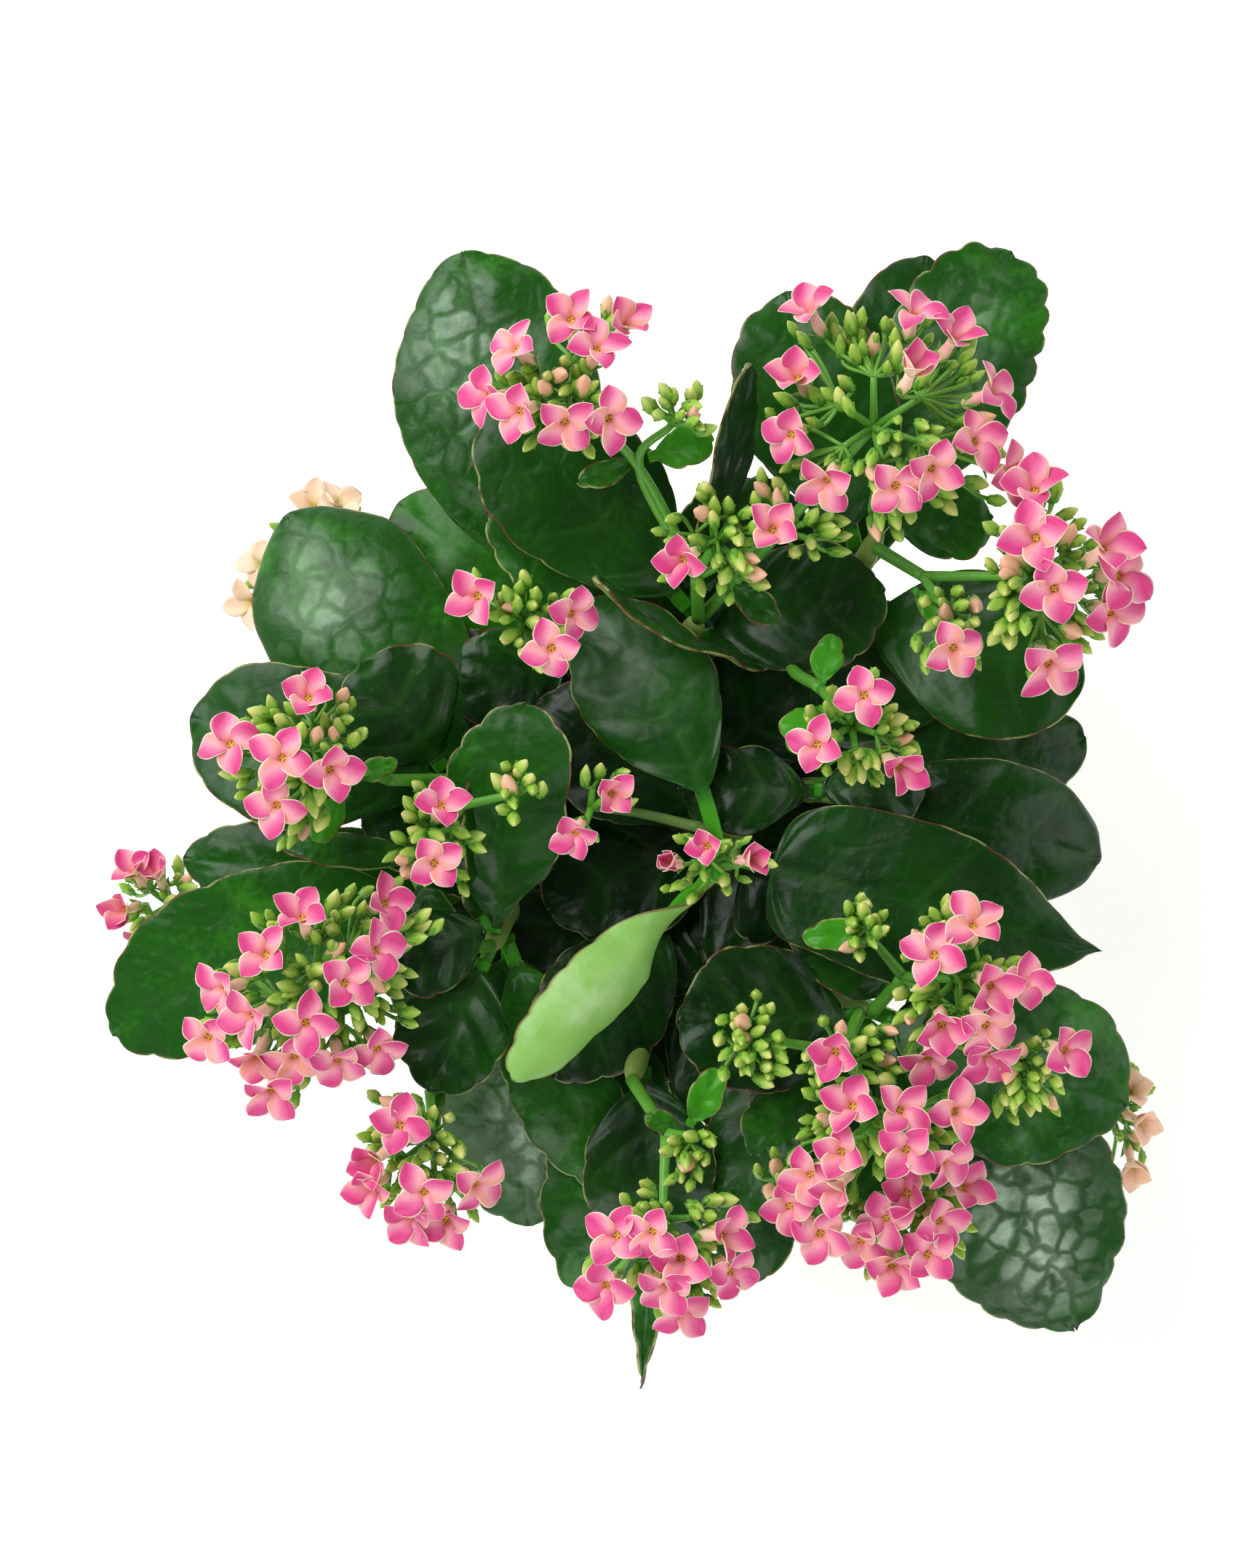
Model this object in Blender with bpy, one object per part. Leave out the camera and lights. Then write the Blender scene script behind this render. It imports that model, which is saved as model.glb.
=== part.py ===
"""A potted kalanchoe: a clay pot of soil, four rooted cuttings with forked stems, 37 leaves and 17 trusses.

Metres, +Z up, +Y to the back. The origin is the middle of the pot's underside.
"""

import math

import bmesh
import bpy
from mathutils import Matrix, Vector

MM = 0.001
GAP = 0.3 * MM  # clearance between pieces that touch

# Pot and soil
POT_HEIGHT = 110 * MM
POT_RIM_RADIUS = 60 * MM
POT_FOOT_RADIUS = 42 * MM
POT_WALL = 5 * MM
POT_FLOOR = 6 * MM
RIM_BAND_HEIGHT = 22 * MM
RIM_BAND_STEP = 3.5 * MM
DRAIN_RADIUS = 4.5 * MM
DRAIN_CIRCLE = 22 * MM
DRAIN_HOLES = 3
SOIL_TOP = 99 * MM
SOIL_CROWN = 2 * MM
TURNED_SEGMENTS = 32

# Stems
TRUNK_RADIUS = 4.6 * MM
SHOOT_RADIUS = 3.4 * MM
PLANTED_DEPTH = 16 * MM
STEM_SIDES = 8

# Leaves
LEAF_THICKNESS = 2.2 * MM
PETIOLE_WIDTH = 5.5 * MM
PETIOLE_SHARE = 0.2
LEAF_COLUMNS = (-1.0, -0.5, 0.0, 0.5, 1.0)
BLADE_STATIONS = (0.1, 0.28, 0.48, 0.68, 0.85, 0.96, 1.0)
LEAF_CLEARANCE = 1.3 * MM

# Flower trusses
STALK_RADIUS = 2.1 * MM
PEDICEL_RADIUS = 1.8 * MM
FLOWER_RADIUS = 6.2 * MM
CLUSTER_RADIUS = 3.5 * MM
PEDICEL_LENGTH = 27 * MM
TRUSS_VOXEL = 1.1 * MM
STALK_TRIANGLES = 70
FLORET_TRIANGLES = 26

# Each cutting: where it is planted (x, y), the height of its fork, and the tops of its shoots.
CUTTINGS = {
    "north": {
        "planted": (-4, 30),
        "fork": 116,
        "shoots": {"north": (18, 60, 172), "north_west": (-27, 62, 166)},
    },
    "east": {
        "planted": (34, 10),
        "fork": 114,
        "shoots": {"north_east": (72, 86, 172), "east": (60, 8, 170), "middle": (26, -13, 182)},
    },
    "south": {
        "planted": (14, -32),
        "fork": 115,
        "shoots": {"south_east": (70, -58, 168), "south": (-2, -78, 166)},
    },
    "west": {
        "planted": (-30, -6),
        "fork": 114,
        "shoots": {"west": (-56, 12, 168), "south_west": (-44, -38, 165)},
    },
}

# Each leaf: the shoot that bears it, how far up that shoot, its tip and width in millimetres, how far it
# arches above its chord, its roll, how its blade cups (plus is edges up), in degrees, and how far it bows to
# the right. A roll, cup or bow left out is 0.
LEAVES = {
    "north_west_tall": dict(shoot="north_west", at=1.0, tip=(-52, 169, 178), width=64, arch=8, cup=-8),
    "north_west_bright": dict(
        shoot="north_west", at=0.5, tip=(-74, 97, 142), width=40, arch=8, roll=-8, cup=10),
    "north_west_inner": dict(shoot="north", at=0.8, tip=(-44, 93, 180), width=36, arch=5, cup=10),
    "north_broad": dict(shoot="north", at=1.0, tip=(-43, 123, 190), width=52, arch=8, cup=-10),
    "north_upright": dict(shoot="north", at=0.9, tip=(32, 133, 205), width=34, arch=8, roll=70, cup=8),
    "north_east_inner": dict(shoot="north", at=0.8, tip=(74, 69, 171), width=26, arch=6),
    "back_broad": dict(shoot="north_east", at=0.9, tip=(44, 158, 172), width=52, arch=8, cup=8),
    "back_low": dict(shoot="north_east", at=0.6, tip=(88, 172, 150), width=44, arch=8),
    "back_corner": dict(shoot="north_east", at=0.8, tip=(113, 172, 160), width=50, arch=8, cup=8),
    "east_high": dict(shoot="north_east", at=0.7, tip=(133, 40, 170), width=46, arch=8, cup=8),
    "east_small": dict(shoot="north_east", at=1.0, tip=(105, 90, 182), width=22, arch=5, cup=8),
    "middle_upright": dict(
        shoot="north_east", at=0.5, tip=(-13, 71, 206), width=24, arch=10, roll=80, bow=-9),
    "east_glossy": dict(shoot="east", at=0.8, tip=(141, -12, 152), width=50, arch=12, cup=-25),
    "east_low": dict(shoot="east", at=0.5, tip=(138, 25, 138), width=36, arch=8),
    "east_pointed": dict(shoot="middle", at=0.9, tip=(138, -39, 176), width=44, arch=8, cup=8),
    "middle_dark": dict(shoot="east", at=0.9, tip=(12, 10, 172), width=27, arch=8, cup=-10),
    "middle_glossy": dict(shoot="middle", at=1.0, tip=(-20, 62, 176), width=31, arch=6, cup=-15, bow=8),
    "middle_left": dict(shoot="middle", at=0.6, tip=(-30, 36, 165), width=34, arch=6),
    "middle_low": dict(shoot="middle", at=0.35, tip=(-28, -28, 150), width=38, arch=6),
    "middle_right": dict(shoot="middle", at=0.8, tip=(52, -30, 168), width=32, arch=4),
    "turned_over": dict(shoot="middle", at=0.95, tip=(-37, -75, 205), width=30, arch=10, roll=160, cup=20),
    "south_east_upper": dict(shoot="south_east", at=0.95, tip=(147, -86, 166), width=56, arch=10, cup=-8),
    "south_east_large": dict(
        shoot="south_east", at=0.9, tip=(133, -155, 150), width=60, arch=12, cup=-8, bow=-8),
    "south_inner": dict(shoot="south_east", at=0.6, tip=(28, -122, 160), width=30, arch=8, roll=25, cup=8),
    "south_curled": dict(shoot="south_east", at=1.0, tip=(11, -60, 184), width=40, arch=6, cup=15),
    "south_low": dict(shoot="south_east", at=0.5, tip=(34, -143, 140), width=38, arch=8),
    "south_brown": dict(shoot="south_west", at=0.85, tip=(-9, -113, 148), width=30, arch=6, cup=-8),
    "south_dark": dict(shoot="south", at=0.85, tip=(6, -130, 158), width=36, arch=6, cup=8),
    "south_glossy": dict(shoot="south", at=0.55, tip=(-18, -147, 136), width=34, arch=8),
    "south_narrow": dict(shoot="south", at=0.3, tip=(1, -179, 116), width=15, arch=10, cup=60),
    "south_west_long": dict(shoot="south_west", at=0.75, tip=(-34, -127, 124), width=44, arch=6, cup=10),
    "south_west_large": dict(
        shoot="south_west", at=0.9, tip=(-160, -66, 152), width=56, arch=10, cup=10, bow=12),
    "west_low": dict(shoot="south_west", at=0.5, tip=(-140, -12, 140), width=34, arch=8),
    "west_folded": dict(shoot="south_west", at=1.0, tip=(-33, 35, 188), width=36, arch=6, roll=-20, cup=35),
    "west_round": dict(shoot="west", at=0.7, tip=(-107, 93, 152), width=64, arch=14, cup=-25),
    "west_broad": dict(shoot="west", at=0.85, tip=(-135, 31, 162), width=54, arch=8, cup=8),
    "west_upper": dict(shoot="west", at=1.0, tip=(-82, 47, 186), width=42, arch=6),
}

# Each truss: the shoot that bears it, how far up, its stalk's way points, and its heads. A head is a hub with
# the places of its open flowers in plan and a count of the clusters of buds among them.
TRUSSES = {
    "north": dict(
        shoot="north", at=1.0, stalk=[(17, 72, 187)],
        heads=[
            dict(hub=(-20, 122, 212), via=(0, 103, 202), clusters=6,
                 open=[(-19, 142), (-4, 141), (-34, 133), (-12, 133), (-42, 121), (-33, 116),
                       (-21, 113), (-9, 114)]),
            dict(hub=(10, 115, 210), via=(0, 103, 202), clusters=3, open=[]),
            dict(hub=(22, 81, 200), clusters=7, open=[(13, 75)]),
            dict(hub=(41, 84, 202), clusters=4, reach=22, open=[(38, 83)]),
        ],
    ),
    "north_east": dict(
        shoot="north", at=0.95, stalk=[(44, 88, 188)],
        heads=[
            dict(hub=(68, 114, 206), clusters=9,
                 open=[(50, 146), (46, 127), (44, 111), (54, 98), (77, 127), (79, 145), (90, 138),
                       (100, 123),
                       (96, 109), (83, 101), (73, 96), (105, 101)]),
        ],
    ),
    "east": dict(
        shoot="north_east", at=0.95, stalk=[(84, 72, 188)],
        heads=[
            dict(hub=(114, 71, 208), clusters=6,
                 open=[(113, 94), (112, 80), (117, 66), (117, 46), (131, 77), (136, 70), (134, 60)]),
            dict(hub=(90, 60, 200), clusters=3, open=[(90, 50)]),
        ],
    ),
    "middle_right": dict(
        shoot="north_east", at=0.75, stalk=[(46, 48, 166), (54, 39, 184)],
        heads=[dict(hub=(62, 28, 200), clusters=4, open=[(64, 36), (51, 22), (74, 16)])],
    ),
    "north_west": dict(
        shoot="north_west", at=1.0, stalk=[(-30, 60, 176)],
        heads=[dict(hub=(-33, 58, 190), clusters=4, open=[(-46, 65), (-25, 50), (-20, 60)])],
    ),
    "west": dict(
        shoot="west", at=1.0, stalk=[(-74, 12, 186)],
        heads=[dict(hub=(-94, 20, 202), clusters=6, open=[(-94, 35), (-117, 22), (-101, 18),
                                                          (-88, 15), (-103, 5)])],
    ),
    "west_inner": dict(
        shoot="west", at=0.95, stalk=[(-63, 2, 184)],
        heads=[
            dict(hub=(-60, -4, 192), clusters=5, open=[(-57, 4), (-59, -12)]),
            dict(hub=(-36, 8, 196), clusters=4, open=[]),
        ],
    ),
    "south_west": dict(
        shoot="south_west", at=1.0, stalk=[(-74, -38, 186)],
        heads=[
            dict(hub=(-94, -44, 200), clusters=8,
                 open=[(-96, -28), (-106, -38), (-74, -24), (-76, -37), (-84, -46), (-119, -48),
                       (-124, -62),
                       (-110, -55), (-95, -57), (-99, -67), (-110, -67), (-87, -68), (-76, -65),
                       (-106, -77)]),
        ],
    ),
    "far_west": dict(
        shoot="south_west", at=0.3, stalk=[(-95, -26, 114)],
        heads=[
            dict(hub=(-146, -27, 120), clusters=2, reach=20,
                 open=[(-155, -17), (-148, -18), (-158, -28), (-152, -36)]),
        ],
    ),
    "behind_round_leaf": dict(
        shoot="west", at=0.15, stalk=[(-78, 52, 116)],
        heads=[dict(hub=(-100, 80, 118), clusters=2, reach=18, open=[(-101, 97), (-94, 97),
                                                                     (-117, 79), (-120, 68)])],
    ),
    "middle": dict(
        shoot="middle", at=1.0, stalk=[(18, -2, 190)],
        heads=[
            dict(hub=(21, -12, 196), clusters=3, open=[(10, -12), (20, -7), (31, -11)]),
            dict(hub=(-14, 4, 190), clusters=1, open=[(-8, 8), (-18, -3)]),
        ],
    ),
    "front_left": dict(
        shoot="south_west", at=0.9, stalk=[(-55, -62, 174), (-62, -80, 180)],
        heads=[
            dict(hub=(-61, -94, 182), clusters=6,
                 open=[(-69, -88), (-76, -98), (-77, -106), (-62, -107), (-48, -105), (-56, -116),
                       (-66, -115)]),
        ],
    ),
    "front": dict(
        shoot="south", at=1.0, stalk=[(8, -92, 188)],
        heads=[
            dict(hub=(7, -116, 200), clusters=5,
                 open=[(-6, -118), (4, -116), (23, -118), (12, -124), (8, -131), (26, -129),
                       (-9, -133), (12, -140)]),
            dict(hub=(15, -92, 200), clusters=4, open=[]),
        ],
    ),
    "east_front": dict(
        shoot="south_east", at=1.0, stalk=[(78, -46, 188)],
        heads=[
            dict(hub=(92, -46, 204), clusters=6,
                 open=[(95, -30), (84, -38), (99, -46), (109, -46), (86, -57), (98, -57), (83, -67),
                       (99, -66)]),
            dict(hub=(110, -68, 204), clusters=6, open=[(121, -65)]),
            dict(hub=(66, -32, 200), clusters=4, open=[]),
        ],
    ),
    "south_east": dict(
        shoot="south_east", at=0.95, stalk=[(60, -68, 188)],
        heads=[
            dict(hub=(32, -63, 200), clusters=7, open=[]),
            dict(hub=(56, -66, 204), clusters=4, open=[(56, -65)]),
            dict(hub=(70, -86, 200), clusters=5,
                 open=[(61, -81), (74, -82), (76, -93), (90, -83), (87, -97), (58, -94), (50, -102),
                       (58, -104)]),
        ],
    ),
    "front_right": dict(
        shoot="south_east", at=0.85, stalk=[(68, -92, 176)],
        heads=[
            dict(hub=(48, -110, 178), clusters=4, open=[(44, -112), (53, -120)]),
            dict(hub=(78, -113, 178), clusters=5,
                 open=[(78, -108), (72, -115), (94, -107), (87, -116), (65, -122), (74, -129), (84, -126)]),
        ],
    ),
    "far_east": dict(
        shoot="south_east", at=0.3, stalk=[(112, -76, 124)],
        heads=[dict(hub=(146, -90, 130), clusters=2, open=[(153, -84), (155, -91), (154, -104)])],
    ),
}


def clear_scene():
    for obj in list(bpy.data.objects):
        bpy.data.objects.remove(obj)


def make_material(name, colour, roughness):
    material = bpy.data.materials.new(name)
    material.use_nodes = True
    shader = material.node_tree.nodes["Principled BSDF"]
    shader.inputs["Base Color"].default_value = (*colour, 1)
    shader.inputs["Roughness"].default_value = roughness
    shader.inputs["Metallic"].default_value = 0
    return material


def add_object(name, mesh, material):
    obj = bpy.data.objects.new(name, mesh)
    mesh.materials.append(material)
    bpy.context.collection.objects.link(obj)
    return obj


def mesh_from(bm, name, sharp_angle=40):
    bmesh.ops.recalc_face_normals(bm, faces=bm.faces)
    mesh = bpy.data.meshes.new(name)
    bm.to_mesh(mesh)
    bm.free()
    mesh.shade_smooth()
    mesh.set_sharp_from_angle(angle=math.radians(sharp_angle))
    return mesh


def turned(name, profile, material, segments=TURNED_SEGMENTS):
    """A closed solid turned about Z. The profile's points are (radius, height), and a radius of 0 is a pole."""
    bm = bmesh.new()
    rings = []
    for radius, height in profile:
        if radius == 0:
            rings.append([bm.verts.new((0, 0, height))] * segments)
            continue
        angles = [2 * math.pi * i / segments for i in range(segments)]
        rings.append([bm.verts.new((radius * math.cos(a), radius * math.sin(a), height)) for a in angles])
    for lower, upper in zip(rings, rings[1:] + rings[:1]):
        for i in range(segments):
            j = (i + 1) % segments
            corners = list(dict.fromkeys([lower[i], lower[j], upper[j], upper[i]]))
            if len(corners) > 2:
                bm.faces.new(corners)
    return add_object(name, mesh_from(bm, name), material)


def pot_inner_radius(height):
    """The radius of the pot's inner wall at a height."""
    share = height / POT_HEIGHT
    outer = POT_FOOT_RADIUS + (POT_RIM_RADIUS - RIM_BAND_STEP - POT_FOOT_RADIUS) * share
    return outer - POT_WALL


def make_pot(material):
    band_foot = POT_HEIGHT - RIM_BAND_HEIGHT
    body_at_band = pot_inner_radius(band_foot) + POT_WALL
    edge = 1.5 * MM
    profile = [
        (0, 0),
        (POT_FOOT_RADIUS - edge, 0),
        (POT_FOOT_RADIUS, edge),
        (body_at_band, band_foot),
        (POT_RIM_RADIUS - edge, band_foot + edge),
        (POT_RIM_RADIUS, POT_HEIGHT - edge),
        (POT_RIM_RADIUS - edge, POT_HEIGHT),
        (pot_inner_radius(POT_HEIGHT) + edge, POT_HEIGHT),
        (pot_inner_radius(POT_HEIGHT), POT_HEIGHT - edge),
        (pot_inner_radius(POT_FLOOR + 3 * edge), POT_FLOOR + 3 * edge),
        (pot_inner_radius(POT_FLOOR) - 3 * edge, POT_FLOOR),
        (0, POT_FLOOR),
    ]
    pot = turned("pot", profile, material)
    for i in range(DRAIN_HOLES):
        angle = 2 * math.pi * i / DRAIN_HOLES
        centre = Vector((math.cos(angle), math.sin(angle), 0)) * DRAIN_CIRCLE
        reach = Vector((0, 0, 2 * POT_FLOOR))
        drill = tube(f"drain_{i}", [centre - reach, centre + reach], [DRAIN_RADIUS] * 2, material, sides=12)
        boolean(pot, drill, "DIFFERENCE")
    return pot


def make_soil(material):
    """The root ball: the pot's inside up to the soil's surface, with a socket for each planted stem."""
    corner = 4.5 * MM
    profile = [
        (0, POT_FLOOR + GAP),
        (pot_inner_radius(POT_FLOOR) - corner - 2 * GAP, POT_FLOOR + GAP),
        (pot_inner_radius(POT_FLOOR + corner) - 2 * GAP, POT_FLOOR + corner + GAP),
        (pot_inner_radius(SOIL_TOP) - GAP * 1.5, SOIL_TOP - SOIL_CROWN),
        (pot_inner_radius(SOIL_TOP) * 0.6, SOIL_TOP - SOIL_CROWN * 0.2),
        (0, SOIL_TOP),
    ]
    soil = turned("soil", profile, material)
    for name, cutting in CUTTINGS.items():
        x, y = (v * MM for v in cutting["planted"])
        top = Vector((x, y, SOIL_TOP + 4 * MM))
        foot = Vector((x, y, SOIL_TOP - PLANTED_DEPTH - GAP))
        socket = tube(f"socket_{name}", [foot, top], [TRUNK_RADIUS + 2 * GAP] * 2, material, sides=12)
        boolean(soil, socket, "DIFFERENCE")
    return soil


def boolean(obj, other, operation):
    modifier = obj.modifiers.new(f"{operation.lower()}_{other.name}", "BOOLEAN")
    modifier.operation = operation
    modifier.object = other
    other.hide_render = True
    other.display_type = "WIRE"


def along(points, share):
    """The point a share of the way along a polyline, by length."""
    lengths = [(b - a).length for a, b in zip(points, points[1:])]
    left = share * sum(lengths)
    for a, b, length in zip(points, points[1:], lengths):
        if left <= length:
            return a.lerp(b, left / length)
        left -= length
    return points[-1].copy()


def smooth_path(points, steps=4):
    """A Catmull-Rom curve through the points."""
    padded = [points[0] * 2 - points[1]] + points + [points[-1] * 2 - points[-2]]
    path = []
    for p0, p1, p2, p3 in zip(padded, padded[1:], padded[2:], padded[3:]):
        for i in range(steps):
            t = i / steps
            path.append(
                0.5 * (2 * p1 + (p2 - p0) * t + (2 * p0 - 5 * p1 + 4 * p2 - p3) * t**2
                       + (3 * p1 - p0 - 3 * p2 + p3) * t**3)
            )
    return path + [points[-1]]


def tube_into(bm, points, radii, sides):
    """Adds a capped tube to a bmesh, its sides turned as little as possible from ring to ring."""
    side = (points[1] - points[0]).orthogonal().normalized()
    rings = []
    for i, (point, radius) in enumerate(zip(points, radii)):
        ahead = points[min(i + 1, len(points) - 1)] - points[max(i - 1, 0)]
        ahead.normalize()
        side = (side - ahead * side.dot(ahead)).normalized()
        other = ahead.cross(side)
        angles = [2 * math.pi * k / sides for k in range(sides)]
        spokes = [side * math.cos(a) + other * math.sin(a) for a in angles]
        rings.append([bm.verts.new(point + radius * spoke) for spoke in spokes])
    for lower, upper in zip(rings, rings[1:]):
        for k in range(sides):
            j = (k + 1) % sides
            bm.faces.new((lower[k], lower[j], upper[j], upper[k]))
    bm.faces.new(reversed(rings[0]))
    bm.faces.new(rings[-1])


def tube(name, points, radii, material, sides=STEM_SIDES):
    bm = bmesh.new()
    tube_into(bm, points, radii, sides)
    return add_object(name, mesh_from(bm, name), material)


def millimetres(point):
    return Vector(point) * MM


def shoot_path(cutting, top):
    """From inside the fork, out and up to the shoot's top."""
    fork = millimetres((*cutting["planted"], cutting["fork"]))
    top = millimetres(top)
    elbow = fork.lerp(top, 0.5) - Vector((0, 0, 3 * MM))
    return smooth_path([fork, elbow, top], steps=3)


def make_stems(material):
    """One forked solid for each cutting. Returns the path of every shoot."""
    paths = {}
    for name, cutting in CUTTINGS.items():
        x, y = cutting["planted"]
        foot = millimetres((x, y, 0)) + Vector((0, 0, SOIL_TOP - PLANTED_DEPTH))
        head = millimetres((x, y, cutting["fork"])) + Vector((0, 0, TRUNK_RADIUS * 0.4))
        trunk = tube(f"stem_{name}", [foot, head], [TRUNK_RADIUS, TRUNK_RADIUS * 0.92], material)
        for shoot, top in cutting["shoots"].items():
            path = shoot_path(cutting, top)
            radii = [SHOOT_RADIUS * (1.08 - 0.16 * i / (len(path) - 1)) for i in range(len(path))]
            branch = tube(f"shoot_{shoot}", path, radii, material)
            boolean(trunk, branch, "UNION")
            paths[shoot] = path
    return paths


def step_off(path, share, towards, distance):
    """A point beside a shoot, square to it at the share of its length, on the side that faces a place."""
    start = along(path, share)
    ahead = (along(path, min(1, share + 0.05)) - along(path, share - 0.05)).normalized()
    away = Vector((towards.x - start.x, towards.y - start.y, 0)).normalized()
    if share < 1:
        away = (away - ahead * away.dot(ahead)).normalized()
    return start + away * distance


def blade_half_width(u, width):
    """Half the blade's width at u, from 0 at its foot to 1 at its round tip, and broadest past the middle."""
    if u >= 1:
        return 0
    return width / 2 * math.sqrt(1 - abs(2 * u**1.25 - 1) ** 2.3)


def leaf_section(width, cup, thickness):
    """Offsets (across, up, half thickness, lean) of the columns of one cross-section."""
    steps = 16
    section = []
    for s in LEAF_COLUMNS:
        across = up = 0
        for i in range(steps):
            turn = cup * s * (i + 0.5) / steps
            across += math.cos(turn) * s * width / steps
            up += math.sin(turn) * s * width / steps
        section.append((across, up, thickness / 2 * math.sqrt(max(0, 1 - s * s)), cup * s))
    return section


def make_leaf(name, plan, paths, material):
    """A thin lens-shaped blade on an arched midrib, with a narrow petiole that starts beside its shoot."""
    tip = millimetres(plan["tip"])
    base = step_off(paths[plan["shoot"]], plan["at"], tip, SHOOT_RADIUS + LEAF_CLEARANCE)
    sideways = (tip - base).cross(Vector((0, 0, 1))).normalized()
    arch = Vector((0, 0, plan["arch"] * MM))
    control = (base + tip) / 2 + 2 * (arch + sideways * plan.get("bow", 0) * MM)
    width = plan["width"] * MM
    stations = [(0, PETIOLE_WIDTH / 2), (PETIOLE_SHARE * 0.6, PETIOLE_WIDTH / 2)]
    for u in BLADE_STATIONS:
        share = PETIOLE_SHARE + (1 - PETIOLE_SHARE) * u
        stations.append((share, max(blade_half_width(u, width), PETIOLE_WIDTH / 2 if u < 0.2 else 0)))
    bm = bmesh.new()
    rows = []
    for t, half_width in stations:
        middle = base * (1 - t) ** 2 + control * 2 * t * (1 - t) + tip * t**2
        if half_width == 0:
            point = bm.verts.new(middle)
            rows.append(([point] * len(LEAF_COLUMNS),) * 2)
            continue
        ahead = ((control - base) * (1 - t) + (tip - control) * t).normalized()
        side = ahead.cross(Vector((0, 0, 1))).normalized()
        turn = Matrix.Rotation(math.radians(plan.get("roll", 0)) * min(1, t / (2 * PETIOLE_SHARE)), 3, ahead)
        side = turn @ side
        up = side.cross(ahead)
        cup = math.radians(plan.get("cup", 0)) * min(1, t / (2 * PETIOLE_SHARE))
        upper, lower = [], []
        for across, rise, thick, lean in leaf_section(half_width, cup, LEAF_THICKNESS):
            place = middle + side * across + up * rise
            normal = up * math.cos(lean) - side * math.sin(lean)
            upper.append(bm.verts.new(place + normal * thick))
            lower.append(bm.verts.new(place - normal * thick) if thick else upper[-1])
        rows.append((upper, lower))
    for face_side in (0, 1):
        for first, second in zip(rows, rows[1:]):
            for i in range(len(LEAF_COLUMNS) - 1):
                a, b = first[face_side], second[face_side]
                corners = list(dict.fromkeys([a[i], a[i + 1], b[i + 1], b[i]]))
                bm.faces.new(corners if face_side else reversed(corners))
    upper, lower = rows[0]
    bm.faces.new(upper + lower[-2:0:-1])
    return add_object(f"leaf_{name}", mesh_from(bm, name), material)


def dome_height(across, reach):
    """How far above its hub a floret stands, for its distance across."""
    return math.sqrt(max(reach**2 - across**2, (0.3 * reach) ** 2))


def florets(head):
    """The places of a head's open flowers, and of its clusters of buds, which fill the gaps on a spiral."""
    hub = millimetres(head["hub"])
    length = head.get("reach", PEDICEL_LENGTH / MM) * MM
    flowers = []
    for x, y in head["open"]:
        flat = Vector((x, y, 0)) * MM - Vector((hub.x, hub.y, 0))
        flowers.append(hub + flat + Vector((0, 0, dome_height(flat.length, length))))
    reach = 0.85 * length
    clusters = []
    spiral = 0
    while len(clusters) < head["clusters"] and spiral < 400:
        radius = 2.6 * MM * math.sqrt(spiral + 1)
        angle = 2.39996 * spiral
        spiral += 1
        flat = Vector((radius * math.cos(angle), radius * math.sin(angle), 0))
        place = hub + flat + Vector((0, 0, dome_height(radius, reach)))
        near_flower = any((place - f).xy.length < FLOWER_RADIUS + CLUSTER_RADIUS for f in flowers)
        near_cluster = any((place - c).length < 2.3 * CLUSTER_RADIUS for c in clusters)
        if not near_flower and not near_cluster:
            clusters.append(place)
    return hub, flowers, clusters


def ball_into(bm, centre, radius, flatten=1, axis=Vector((0, 0, 1)), detail=1):
    turn = axis.to_track_quat("Z", "Y").to_matrix().to_4x4()
    matrix = Matrix.Translation(centre) @ turn @ Matrix.Diagonal((1, 1, flatten, 1))
    bmesh.ops.create_icosphere(bm, subdivisions=detail, radius=radius, matrix=matrix)


def make_truss(name, plan, paths, material):
    """A stalk that forks to its hubs, with a pedicel from each hub to each of its florets, as one solid."""
    bm = bmesh.new()
    first = millimetres(plan["stalk"][0])
    start = along(paths[plan["shoot"]], plan["at"])
    if plan["at"] == 1:
        start += Vector((0, 0, SHOOT_RADIUS + STALK_RADIUS))
    else:
        clear = SHOOT_RADIUS + STALK_RADIUS + LEAF_CLEARANCE
        start = step_off(paths[plan["shoot"]], plan["at"], first, clear)
    stalk = [start] + [millimetres(p) for p in plan["stalk"]]
    path = smooth_path(stalk) if len(stalk) > 2 else stalk
    tube_into(bm, path, [STALK_RADIUS] * len(path), 6)
    triangles = STALK_TRIANGLES
    for head in plan["heads"]:
        hub, flowers, clusters = florets(head)
        triangles += FLORET_TRIANGLES * (len(flowers) + len(clusters))
        fork = [path[-1]]
        if "via" in head:
            fork.append(millimetres(head["via"]))
        tube_into(bm, fork + [hub], [STALK_RADIUS] * len(fork) + [PEDICEL_RADIUS * 1.1], 6)
        ball_into(bm, path[-1], STALK_RADIUS * 1.2)
        ball_into(bm, hub, PEDICEL_RADIUS * 1.6)
        for place in flowers + clusters:
            tube_into(bm, [hub, place], [PEDICEL_RADIUS] * 2, 6)
        for place in flowers:
            ball_into(bm, place, FLOWER_RADIUS, flatten=0.45, axis=(place - hub).normalized(), detail=2)
        for place in clusters:
            ball_into(bm, place, CLUSTER_RADIUS)
    truss = add_object(f"truss_{name}", mesh_from(bm, name), material)
    union = truss.modifiers.new("union", "REMESH")
    union.mode = "VOXEL"
    union.voxel_size = TRUSS_VOXEL
    faces = len(truss.evaluated_get(bpy.context.evaluated_depsgraph_get()).data.polygons)
    thin = truss.modifiers.new("thin", "DECIMATE")
    thin.ratio = min(1, triangles / (2 * faces))
    return truss


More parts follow.
